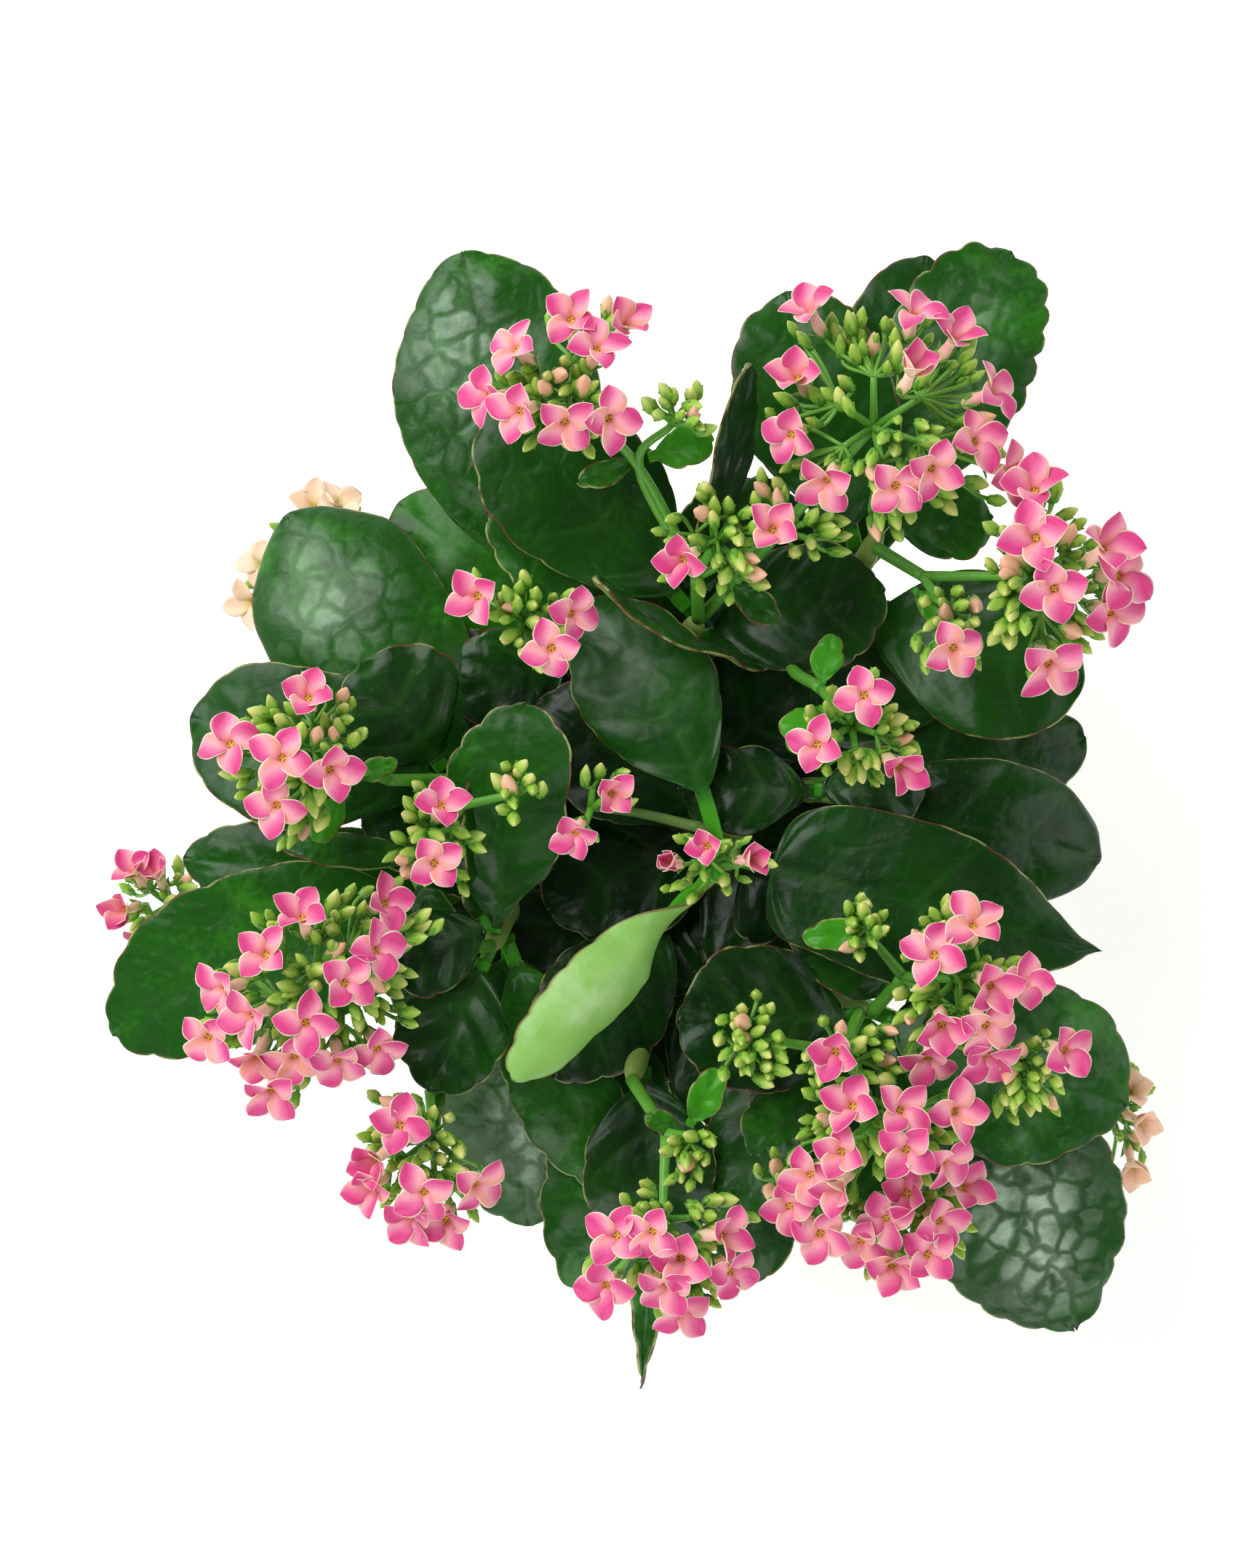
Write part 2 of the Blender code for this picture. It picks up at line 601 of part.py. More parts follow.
def main():
    clear_scene()
    clay = make_material("fired_clay", (0.50, 0.20, 0.10), 0.85)
    earth = make_material("potting_soil", (0.035, 0.022, 0.015), 0.95)
    stem_green = make_material("stem_green", (0.10, 0.22, 0.05), 0.5)
    leaf_green = make_material("leaf_green", (0.02, 0.12, 0.02), 0.3)
    petal_pink = make_material("petal_pink", (0.80, 0.15, 0.35), 0.5)
    make_pot(clay)
    make_soil(earth)
    paths = make_stems(stem_green)
    for name, plan in LEAVES.items():
        make_leaf(name, plan, paths, leaf_green)
    for name, plan in TRUSSES.items():
        make_truss(name, plan, paths, petal_pink)


main()
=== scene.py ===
import math
import random

import bpy
import numpy as np
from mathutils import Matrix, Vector


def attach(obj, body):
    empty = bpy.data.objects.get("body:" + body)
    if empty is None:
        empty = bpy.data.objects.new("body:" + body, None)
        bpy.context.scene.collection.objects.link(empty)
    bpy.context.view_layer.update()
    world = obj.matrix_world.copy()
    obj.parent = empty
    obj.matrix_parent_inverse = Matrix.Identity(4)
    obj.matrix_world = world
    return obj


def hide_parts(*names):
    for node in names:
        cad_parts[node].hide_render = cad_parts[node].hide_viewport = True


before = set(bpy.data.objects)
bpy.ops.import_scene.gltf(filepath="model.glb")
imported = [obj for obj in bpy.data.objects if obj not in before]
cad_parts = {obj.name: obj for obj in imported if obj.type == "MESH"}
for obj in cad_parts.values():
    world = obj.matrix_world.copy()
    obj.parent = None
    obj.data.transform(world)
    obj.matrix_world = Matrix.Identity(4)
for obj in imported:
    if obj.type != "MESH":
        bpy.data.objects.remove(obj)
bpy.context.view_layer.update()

mm = 0.001
up = np.array((0.0, 0.0, 1.0))


# Small helpers for vectors and colours

def unit(v):
    return v / max(np.linalg.norm(v), 1e-12)


def point(values):
    return np.array(values, float) * mm


def smoothStep(low, high, x):
    t = np.clip((x - low) / (high - low), 0, 1)
    return t * t * (3 - 2 * t)


def basisFor(axis, spin=0.0):
    # three square directions, the last one along the axis
    axis = unit(axis)
    side = np.cross(axis, (0.3, 1, 0.2) if abs(axis[1]) < 0.9 else (1, 0.2, 0))
    side = unit(side)
    other = np.cross(axis, side)
    c, s = math.cos(spin), math.sin(spin)
    return side * c + other * s, other * c - side * s, axis


def hexToLinear(code):
    values = [int(code[i : i + 2], 16) / 255 for i in (1, 3, 5)]
    return tuple(v / 12.92 if v <= 0.04045 else ((v + 0.055) / 1.055) ** 2.4 for v in values) + (1.0,)


# Materials. A source drives a colour or a bump. It is a mark's name, a noise as features per metre or as
# (features per metre, detail, roughness, stretch), a list of a source and (weight, source) to add to it, or a
# socket that is there already.

def addNode(tree, kind, inputs=None, output=0, **settings):
    node = tree.nodes.new("ShaderNode" + kind)
    for key, value in settings.items():
        setattr(node, key, value)
    for key, value in (inputs or {}).items():
        if isinstance(value, bpy.types.NodeSocket):
            tree.links.new(value, node.inputs[key])
        else:
            node.inputs[key].default_value = value
    return node.outputs[output]


noiseDefaults = (None, 3.0, 0.55, None)


def signal(tree, source, low=None, high=None, start=0.0, end=1.0):
    # the socket of a source, eased from start at its low value to end at its high value where those are given
    if isinstance(source, str):
        source = addNode(tree, "Attribute", output="Fac", attribute_name=source)
    elif isinstance(source, list):
        total = signal(tree, source[0])
        for weight, part in source[1:]:
            total = addNode(tree, "Math", {0: signal(tree, part), 1: weight, 2: total},
                            operation="MULTIPLY_ADD")
        source = total
    elif not isinstance(source, bpy.types.NodeSocket):
        source = source if isinstance(source, tuple) else (source,)
        perMetre, detail, roughness, stretch = source + noiseDefaults[len(source):]
        where = addNode(tree, "TexCoord", output="Object")
        if stretch:
            where = addNode(tree, "Mapping", {0: where, 3: stretch})
        source = addNode(tree, "TexNoise", {"Vector": where, "Scale": perMetre, "Detail": detail,
                                            "Roughness": roughness})
    if low is None:
        return source
    return addNode(tree, "MapRange", {0: source, 1: low, 2: high, 3: start, 4: end},
                   interpolation_type="SMOOTHSTEP")


def painted(tree, base, layers=()):
    # a base colour, or a source and its ramp of colours, with layers of (colour, source, its range) over it
    if isinstance(base, tuple):
        source, stops = base
        places = sorted(stops)
        colour = addNode(tree, "ValToRGB", {0: signal(tree, source)})
        elements = colour.node.color_ramp.elements
        elements[0].position, elements[1].position = places[0], places[-1]
        elements[0].color, elements[1].color = hexToLinear(stops[places[0]]), hexToLinear(stops[places[-1]])
        for place in places[1:-1]:
            elements.new(place).color = hexToLinear(stops[place])
    else:
        colour = hexToLinear(base)
    for paint, source, *span in layers:
        paint = painted(tree, *paint) if isinstance(paint, tuple) else hexToLinear(paint)
        colour = addNode(tree, "Mix", {0: signal(tree, source, *span), 6: colour, 7: paint}, 2,
                         data_type="RGBA")
    return colour


def newFinish(name, **sockets):
    finish = bpy.data.materials.new(name)
    finish.use_nodes = True
    shader = finish.node_tree.nodes["Principled BSDF"]
    for key, value in sockets.items():
        shader.inputs[key.replace("_", " ")].default_value = value
    return finish, finish.node_tree, shader


def cover(finish, tree, shader, base, layers=(), bumps=()):
    # gives a finish its colours, and its bumps of (source, distance, strength) from the widest to the finest
    tree.links.new(painted(tree, base, layers), shader.inputs["Base Color"])
    normal = {}
    for source, distance, strength in bumps:
        inputs = {"Height": signal(tree, source), "Distance": distance, "Strength": strength, **normal}
        normal = {"Normal": addNode(tree, "Bump", inputs)}
        tree.links.new(normal["Normal"], shader.inputs["Normal"])
    return finish


# leaf colours: the whitish B9D0B8 is painted sheen, laid in patches over the tops of some leaves
leafLook = {
    "dark": "#051C07", "middle": "#174F0A", "bright": "#3E9416", "vein": "#56913A", "paintedSheen": "#B9D0B8",
    "rimRed": "#6B2F26", "rimPale": "#A8A96A", "under": "#8DBF5E", "underShade": "#6FA548",
    "underVein": "#A9CE82",
    "underDark": "#4A7A34", "underPaintedSheen": "#C4D9AE", "netSpacing": 115.0, "netDrift": 0.009,
}


def makeLeafTop():
    # waxy leaf skin: a clear cuticle over dark flesh, so the sheen is broad and breaks up over the puckers
    finish, tree, shader = newFinish("waxyLeafSkin", Roughness=0.4, IOR=1.42, Specular_IOR_Level=0.16,
                                     Coat_Weight=0.27, Coat_Roughness=0.22)
    # a net of sunken side veins about 9 mm apart, bent out of shape by a slow noise
    where = addNode(tree, "TexCoord", output="Object")
    drift = addNode(tree, "TexNoise", {"Vector": where, "Scale": 90.0, "Detail": 2.0}, "Color")
    bent = addNode(tree, "VectorMath", {0: drift, 1: (leafLook["netDrift"],) * 3, 2: where},
                   operation="MULTIPLY_ADD")
    net = addNode(tree, "TexVoronoi", {"Vector": bent, "Scale": leafLook["netSpacing"]}, "Distance",
                  feature="DISTANCE_TO_EDGE")
    swollen = signal(tree, net, 0.0, 0.32)

    def product(first, second):
        return addNode(tree, "Math", {0: signal(tree, first), 1: signal(tree, second)}, operation="MULTIPLY")

    sheenPatches = signal(tree, (90.0, 4.0, 0.6), 0.3, 0.7, 0.25, 1.0)  # painted sheen, in patches 10 mm wide
    # whitish painted sheen: the patches, thinner in the creases of the vein net, scaled by each leaf's sheen mark
    paintedSheenMask = product(product(sheenPatches, signal(tree, swollen, 0.0, 0.7, 0.2, 1.0)), "paintedSheen")
    sheen = signal(tree, (70.0, 4.0), 0.35, 0.7, 0.34, 0.52)
    tree.links.new(signal(tree, [sheen, (-0.1, "gloss")]), shader.inputs["Roughness"])
    mottled = ["tone", (0.5, 45.0), (0.16, (420.0,
                                            2.0))]  # cloudy areas about 20 mm across, and specks of 2 mm
    rim = (leafLook["rimRed"], [(leafLook["rimPale"], (160.0, 2.0), 0.42, 0.6)])
    return cover(finish, tree, shader,
                 (mottled, {0.28: leafLook["dark"], 0.7: leafLook["middle"], 1.0: leafLook["bright"]}),
                 [(leafLook["vein"], "vein", 0.1, 1.0, 0.0, 0.09),
                  # painted sheen over the leaf colour
                  (leafLook["paintedSheen"], paintedSheenMask),
                  (rim, "fromEdge", 0.1, 0.65, 0.75, 0.0)],  # a rim line half a millimetre wide
                 [(product(swollen, "wrinkle"), 0.0006, 0.6),
                  (product((120.0, 3.0, 0.5), "wrinkle"), 0.0022, 0.6),  # puckers about 8 mm apart
                  ((520.0, 2.0), 0.00022, 0.5),  # pebbling about 2 mm apart
                  ((2400.0, 2.0), 0.00005, 0.5)])  # skin cells, drawn at 0.4 mm to show


def makeLeafUnder():
    # underside of a fleshy leaf: paler, duller, with raised pale veins and whitish patches of painted sheen about 15
    # mm across
    return cover(*newFinish("paleLeafUnderside", Roughness=0.42, IOR=1.43), leafLook["underShade"],
                 [(leafLook["under"], 60.0),
                  (leafLook["underDark"], "tone", 0.0, 0.5, 0.55, 0.0),
                  (leafLook["underPaintedSheen"], (55.0, 4.0, 0.6), 0.45, 0.75, 0.0, 0.45),
                  (leafLook["underVein"], "vein", 0.1, 1.0, 0.0, 0.25),
                  (leafLook["rimRed"], "fromEdge", 0.1, 1.3, 0.8, 0.0)],
                 [(900.0, 0.0002, 0.5)])


def makeGreenStalk(name, dark, light, roughness):
    # young stem skin: smooth and moist, with faint lengthways streaks
    streaks = (300.0, 3.0, 0.6, (1.0, 1.0, 0.15))
    return cover(*newFinish(name, Roughness=roughness, IOR=1.44, Subsurface_Weight=0.08,
                            Subsurface_Scale=0.002),
                 dark, [(light, streaks), ("#A7C45C", "tone", 0.0, 1.0, 0.0, 0.5)], [(streaks, 0.0003, 0.4)])


petalLook = {
    "hot": "#CC387C", "pink": "#DD6394", "pale": "#EDA0AC", "salmon": "#EA9A8C", "margin": "#F8E3CC",
    "throat": "#DDB04C", "outside": "#F4CDB4", "outsidePink": "#EE8FA6", "outsideFoot": "#D3CC86",
}


def makePetal():
    # inside of a petal: satin, hot pink at its tip and along one side, paler inwards, with a cream edge line
    streak = (700.0, 2.0)
    blend = ["along", (0.5, "across"), (0.5, "tone"), (0.14, streak)]
    return cover(*newFinish("satinPinkPetal", Roughness=0.5, IOR=1.4, Subsurface_Weight=0.08,
                            Subsurface_Scale=0.0015,
                            Sheen_Weight=0.15, Subsurface_Radius=(1.0, 0.35, 0.4)),
                 (blend, {0.15: petalLook["salmon"], 0.42: petalLook["pale"], 0.74: petalLook["pink"],
                          1.0: petalLook["hot"]}),
                 [(petalLook["margin"], "rim", 0.86, 0.97, 0.0, 0.85),
                  (petalLook["throat"], "along", 0.12, 0.02, 0.0, 0.8)],
                 [(streak, 0.00015, 0.4)])


def makePetalBack():
    # outside of a petal and its tube: peach and cream with a pink flush
    return cover(*newFinish("peachPetalBack", Roughness=0.55, IOR=1.4, Subsurface_Weight=0.15,
                            Subsurface_Scale=0.0015, Subsurface_Radius=(1.0, 0.45, 0.35)),
                 petalLook["outside"],
                 [(petalLook["outsidePink"], ["tone", (0.6, 260.0)], 0.3, 1.1),
                  (petalLook["outsideFoot"], "along", 0.45, 0.0, 0.0, 0.9),
                  (petalLook["margin"], "rim", 0.88, 0.98, 0.0, 0.8)])


def makeBudSkin():
    # plump bud: matt yellow-green that turns cream and peach at the tip as it ripens
    ripe = ("#CDD07A", [("#EDB59A", "tone", 0.55, 0.9)])
    return cover(*newFinish("yellowGreenBud", Roughness=0.45, IOR=1.43, Subsurface_Weight=0.15,
                            Subsurface_Scale=0.002, Subsurface_Radius=(0.7, 1.0, 0.3)),
                 "#75A531", [("#A5C64E", 500.0), (ripe, ["along", (0.75, "tone")], 0.75, 1.3)])


def makeAnther():
    # ripe anthers and throat: dry golden pollen
    return cover(*newFinish("goldenThroat", Roughness=0.7, IOR=1.4), "#D0A030", [("#F2D868", 1500.0)])


def makeClay():
    # fired clay, turned on a wheel and left unglazed: dry, with faint rings, sand and a pale lime bloom
    rings = (90.0, 4.0, 0.6, (0.08, 0.08, 3.0))  # turning marks about 4 mm apart
    sand = (1400.0, 2.0)
    return cover(*newFinish("firedClay", Roughness=0.85, IOR=1.5), "#A9583A",
                 [("#C0704B", rings), ("#D9B39B", (22.0, 4.0), 0.45, 0.75, 0.0, 0.45),
                  ("#7A3B26", sand, 0.55, 0.75, 0.0, 0.25)],
                 [(sand, 0.00025, 0.7), (rings, 0.0006, 0.5)])


def makeEarth():
    # peat compost: moist, dark and crumbly
    crumbs = (420.0, 6.0, 0.7)
    return cover(*newFinish("peatCompost", Roughness=0.92, IOR=1.4), "#1B120C", [("#4A3526", crumbs)],
                 [(crumbs, 0.0012, 0.9)])


def makePerlite():
    # expanded perlite: chalky white grains
    return cover(*newFinish("whitePerlite", Roughness=0.95, IOR=1.4), "#BEB7A8", [("#E8E4D8", 900.0)])


finishes = {
    "leafTop": makeLeafTop(),
    "leafUnder": makeLeafUnder(),
    "stalk": makeGreenStalk("freshStalk", "#3D8A22", "#69AC38", 0.4),
    "stem": makeGreenStalk("olderStem", "#35591F", "#5B7A34", 0.55),
    "petal": makePetal(),
    "petalBack": makePetalBack(),
    "bud": makeBudSkin(),
    "anther": makeAnther(),
    "clay": makeClay(),
    "earth": makeEarth(),
    "perlite": makePerlite(),
}
print("finishes made")


# Mesh building. A sheaf gathers points, faces and marks, and becomes one piece.

markNames = ("tone", "along", "across", "rim", "vein", "fromEdge", "paintedSheen", "gloss", "wrinkle")


def newSheaf():
    return {"points": [], "faces": [], "slots": [], "finishes": [], "count": 0,
            "marks": {n: [] for n in markNames}}


def slotOf(sheaf, finish):
    if finish not in sheaf["finishes"]:
        sheaf["finishes"].append(finish)
    return sheaf["finishes"].index(finish)


def addPoints(sheaf, points, **marks):
    points = np.asarray(points, float).reshape(-1, 3)
    start = sheaf["count"]
    sheaf["points"].append(points)
    sheaf["count"] += len(points)
    for name in markNames:
        value = np.broadcast_to(np.asarray(marks.get(name, 0.0), float).reshape(-1), (len(points),))
        sheaf["marks"][name].append(value)
    return start


def addFaces(sheaf, faces, finish):
    faces = faces.tolist() if isinstance(faces, np.ndarray) else faces
    sheaf["faces"].extend(faces)
    sheaf["slots"].extend([slotOf(sheaf, finish)] * len(faces))


def gridFaces(start, rows, columns, wrap=False):
    i, j = np.meshgrid(np.arange(rows - 1), np.arange(columns if wrap else columns - 1), indexing="ij")
    k = (j + 1) % columns
    quads = np.stack([i * columns + j, i * columns + k, (i + 1) * columns + k, (i + 1) * columns + j], -1)
    return quads.reshape(-1, 4) + start


def addRings(sheaf, rings, finish, **marks):
    # rings of points joined into a skin, with a flat cap at each end
    rows, sides = np.shape(rings)[:2]
    start = addPoints(sheaf, rings, **marks)
    addFaces(sheaf, gridFaces(start, rows, sides, True), finish)
    for first, turn in ((start, -1), (start + (rows - 1) * sides, 1)):
        addFaces(sheaf, [tuple(range(first, first + sides))[::turn]], finish)


def addShell(sheaf, top, bottom, topFinish, bottomFinish, marks):
    # two facing grids of points, closed round their edges
    rows, columns = top.shape[:2]
    flat = {name: np.broadcast_to(value, (rows, columns)).reshape(-1) for name, value in marks.items()}
    first = addPoints(sheaf, top, **flat)
    second = addPoints(sheaf, bottom, **flat)
    addFaces(sheaf, gridFaces(first, rows, columns)[:, ::-1], topFinish)
    addFaces(sheaf, gridFaces(second, rows, columns), bottomFinish)
    index = np.arange(rows * columns).reshape(rows, columns)
    loop = np.concatenate([index[0, :-1], index[:-1, -1], index[-1, :0:-1], index[:0:-1, 0]])
    after = np.roll(loop, -1)
    addFaces(sheaf, np.stack([loop + first, after + first, after + second, loop + second], -1), topFinish)


def addTube(sheaf, path, radii, sides, finish, lobes=0.0, **marks):
    # a closed tube along a path
    path = np.asarray(path, float)
    radii = np.broadcast_to(radii, (len(path),))
    ahead = np.gradient(path, axis=0)
    side, other, _ = basisFor(ahead[0])
    angles = np.arange(sides) * 2 * math.pi / sides
    swell = 1 + lobes * np.cos(4 * angles)
    rings = []
    for place, direction, radius in zip(path, ahead, radii):
        direction = unit(direction)
        side = unit(side - direction * side.dot(direction))
        other = np.cross(direction, side)
        rings.append(place + radius * (np.outer(np.cos(angles) * swell,
                                                side) + np.outer(np.sin(angles) * swell, other)))
    flat = {name: np.repeat(np.broadcast_to(value, (len(path),)), sides) for name, value in marks.items()}
    addRings(sheaf, rings, finish, **flat)


def makePiece(name, sheaf, replaced=()):
    mesh = bpy.data.meshes.new(name)
    mesh.from_pydata(np.concatenate(sheaf["points"]).tolist(), [], sheaf["faces"])
    for finish in sheaf["finishes"]:
        mesh.materials.append(finishes[finish])
    mesh.polygons.foreach_set("material_index", sheaf["slots"])
    for mark in markNames:
        values = np.concatenate(sheaf["marks"][mark]).astype(np.float32)
        if values.any():
            mesh.attributes.new(mark, "FLOAT", "POINT").data.foreach_set("value", values)
    mesh.shade_smooth()
    mesh.update()
    piece = bpy.data.objects.new(name, mesh)
    bpy.context.collection.objects.link(piece)
    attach(piece, "root")
    if replaced:
        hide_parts(*replaced)
    return piece


def curve(points, steps):
    # a smooth path through the points
    points = [np.asarray(p, float) for p in points]
    padded = [2 * points[0] - points[1]] + points + [2 * points[-1] - points[-2]]
    path = []
    for a, b, c, d in zip(padded, padded[1:], padded[2:], padded[3:]):
        for i in range(steps):
            t = i / steps
            path.append(0.5 * (2 * b + (c - a) * t + (2 * a - 5 * b + 4 * c - d) * t**2
                               + (3 * b - a - 3 * c + d) * t**3))
    return np.array(path + [points[-1]])


def alongPath(path, share):
    steps = np.linalg.norm(np.diff(path, axis=0), axis=1)
    reach = np.concatenate([[0], np.cumsum(steps)])
    at = share * reach[-1]
    return np.array([np.interp(at, reach, path[:, k]) for k in range(3)])


# Pot and soil

pot = {
    "height": 110, "rimRadius": 60, "footRadius": 42, "wall": 5, "floor": 6, "bandHeight": 22,
    "bandStep": 3.5, "sides": 128, "soilTop": 99, "soilCrown": 2, "crumbs": 420, "grains": 70,
    "drainHoles": 3, "drainRadius": 4.5, "drainCircle": 22, "drainSides": 32,
}


def potInside(height):
    slope = (pot["rimRadius"] - pot["bandStep"] - pot["footRadius"]) / pot["height"]
    return pot["footRadius"] + slope * height - pot["wall"]


def turned(sheaf, profile, sides, finish, wobble=None):
    # a profile of (radius, height) turned about the upright axis, closed on the axis at both ends
    angles = np.arange(sides) * 2 * math.pi / sides
    rings = []
    for radius, height in profile:
        rings.append(np.stack([radius * np.cos(angles), radius * np.sin(angles), np.full(sides, float(height))], -1))
    rings = np.array(rings) * mm
    if wobble is not None:
        rings = wobble(rings)
    addRings(sheaf, rings, finish)


def roundedProfile(corners):
    # softens each corner of a profile by its own radius
    profile = []
    for i, (radius, height, soft) in enumerate(corners):
        here = np.array((radius, height), float)
        if soft == 0:
            profile.append(tuple(here))
            continue
        before = np.array(corners[i - 1][:2], float)
        after = np.array(corners[i + 1][:2], float)
        a = here + unit(before - here) * soft
        b = here + unit(after - here) * soft
        for t in np.linspace(0, 1, 6):
            profile.append(tuple((1 - t) ** 2 * a + 2 * t * (1 - t) * here + t * t * b))
    return profile


def drillDrainage(piece):
    # holes through the pot's floor, at the same places as in the CAD pot
    sheaf = newSheaf()
    reach = up * 2 * pot["floor"] * mm
    for i in range(pot["drainHoles"]):
        angle = 2 * math.pi * i / pot["drainHoles"]
        centre = point((math.cos(angle), math.sin(angle), 0)) * pot["drainCircle"]
        addTube(sheaf, [centre - reach, centre + reach], pot["drainRadius"] * mm, pot["drainSides"], "clay")
    mesh = bpy.data.meshes.new("drill")
    mesh.from_pydata(np.concatenate(sheaf["points"]).tolist(), [], sheaf["faces"])
    drill = bpy.data.objects.new("drill", mesh)
    bpy.context.collection.objects.link(drill)
    cut = piece.modifiers.new("drainage", "BOOLEAN")
    cut.object = drill
    cut.operation = "DIFFERENCE"
    cut.solver = "EXACT"
    drilled = bpy.data.meshes.new_from_object(piece.evaluated_get(bpy.context.evaluated_depsgraph_get()))
    piece.modifiers.clear()
    piece.data = drilled
    bpy.data.objects.remove(drill)
    drilled.set_sharp_from_angle(angle=math.radians(40))


def makePot():
    bandFoot = pot["height"] - pot["bandHeight"]
    body = potInside(bandFoot) + pot["wall"]
    top = potInside(pot["height"])
    corners = [
        (0.05, 0, 0), (24, 0, 0), (pot["footRadius"], 0, 2.0), (body, bandFoot, 0.8),
        (pot["rimRadius"] - 1.2, bandFoot + 1.0, 1.0), (pot["rimRadius"], bandFoot + 3, 1.0),
        (pot["rimRadius"], pot["height"], 1.8), (top, pot["height"], 1.8),
        (potInside(60), 60, 0), (potInside(pot["floor"]), pot["floor"], 4.0), (0.05, pot["floor"], 0),
    ]
    sheaf = newSheaf()
    turned(sheaf, roundedProfile(corners), pot["sides"], "clay")
    drillDrainage(makePiece("clayPot", sheaf, ["pot"]))


def lumps(x, y, scale):
    # a repeatable bumpy height between about -1 and 1
    return (np.sin(x * scale * 1.3 + 2.1 * np.sin(y * scale))
            + np.sin(y * scale * 1.7 + 1.7 * np.sin(x * scale * 0.8))) / 2


def addChunk(sheaf, centre, size, finish, dice):
    sides, rows = 6, 5
    angles = np.arange(sides) * 2 * math.pi / sides + dice.random() * 6
    stretch = np.array([dice.uniform(0.6, 1.3) for _ in range(3)])
    rings = []
    for i in range(rows):
        tilt = math.pi * (i + 0.35) / (rows - 0.3)
        rough = np.array([dice.uniform(0.8, 1.15) for _ in range(sides)])
        ring = np.stack([np.cos(angles) * math.sin(tilt) * rough, np.sin(angles) * math.sin(tilt) * rough,
                         np.full(sides, -math.cos(tilt))], -1)
        rings.append(centre + ring * stretch * size)
    addRings(sheaf, rings, finish)


def makeSoil():
    sheaf = newSheaf()
    edge = potInside(pot["soilTop"]) - 0.6
    base = pot["floor"] + 0.6
    profile = [(0.05, base), (potInside(base) - 5, base), (potInside(base + 5) - 0.8, base + 5),
               (edge, pot["soilTop"] - pot["soilCrown"] - 1.5)]
    for share in np.linspace(1, 0.002, 46):
        profile.append((edge * share, pot["soilTop"] - pot["soilCrown"] * share**2))

    def roughen(rings):
        x, y = rings[4:, :, 0] / mm, rings[4:, :, 1] / mm
        fade = np.clip(np.hypot(x, y) / 3, 0, 1)
        rings[4:, :, 2] += fade * mm * (0.9 * lumps(x, y, 0.35) + 0.6 * lumps(x + 9, y,
                                                                              0.9) + 0.4 * lumps(y, x + 4,
                                                                                                 1.9))
        return rings

    turned(sheaf, profile, 96, "earth", roughen)
    dice = random.Random(11)
    for i in range(pot["crumbs"] + pot["grains"]):
        radius = (edge - 3) * math.sqrt(dice.random())
        angle = dice.random() * 2 * math.pi
        size = dice.uniform(0.6, 1.9) * mm
        height = pot["soilTop"] - pot["soilCrown"] * (radius / edge) ** 2 + 0.3
        centre = point((radius * math.cos(angle), radius * math.sin(angle), height))
        addChunk(sheaf, centre, size, "earth" if i < pot["crumbs"] else "perlite", dice)
    makePiece("soilBall", sheaf, ["soil"])


makePot()
makeSoil()
print("pot and soil made")


# Stems: where each cutting is planted, the height of its fork, and the tops of its shoots, in millimetres

cuttings = {
    "north": {"planted": (-4, 30), "fork": 116,
              "shoots": {"north": (18, 60, 172), "north_west": (-27, 62, 166)}},
    "east": {"planted": (34, 10), "fork": 114,
             "shoots": {"north_east": (72, 86, 172), "east": (60, 8, 170), "middle": (26, -13, 182)}},
    "south": {"planted": (14, -32), "fork": 115,
              "shoots": {"south_east": (70, -58, 168), "south": (-2, -78, 166)}},
    "west": {"planted": (-30, -6), "fork": 114,
             "shoots": {"west": (-56, 12, 168), "south_west": (-44, -38, 165)}},
}
stemSize = {"trunk": 4.6, "shoot": 3.4, "planted": 16}


def makeStems():
    paths = {}
    for name, cutting in cuttings.items():
        sheaf = newSheaf()
        x, y = cutting["planted"]
        foot = point((x, y, pot["soilTop"] - stemSize["planted"]))
        fork = point((x, y, cutting["fork"]))
        trunk = curve([foot, (foot + fork) / 2 + point((0.4, -0.3, 0)), fork + point((0, 0, 2))], 6)
        addTube(sheaf, trunk, np.linspace(1.0, 0.94, len(trunk)) * stemSize["trunk"] * mm, 16, "stem",
                tone=0.0)
        for shoot, top in cutting["shoots"].items():
            top = point(top)
            elbow = fork + (top - fork) * 0.5 - point((0, 0, 3))
            coarse = curve([fork, elbow, top], 3)
            path = curve(list(coarse), 4)
            share = np.linspace(0, 1, len(path))
            knots = 1 + 0.16 * np.exp(-((((share * 5) % 1) - 0.5) / 0.1) ** 2)
            radii = stemSize["shoot"] * mm * (1.06 - 0.16 * share) * knots
            radii[-1] *= 0.6
            addTube(sheaf, path, radii, 14, "stem", tone=share * 0.8)
            paths[shoot] = coarse
        makePiece("stem." + name, sheaf, ["stem_" + name])
    return paths


shootPaths = makeStems()
print("stems made")
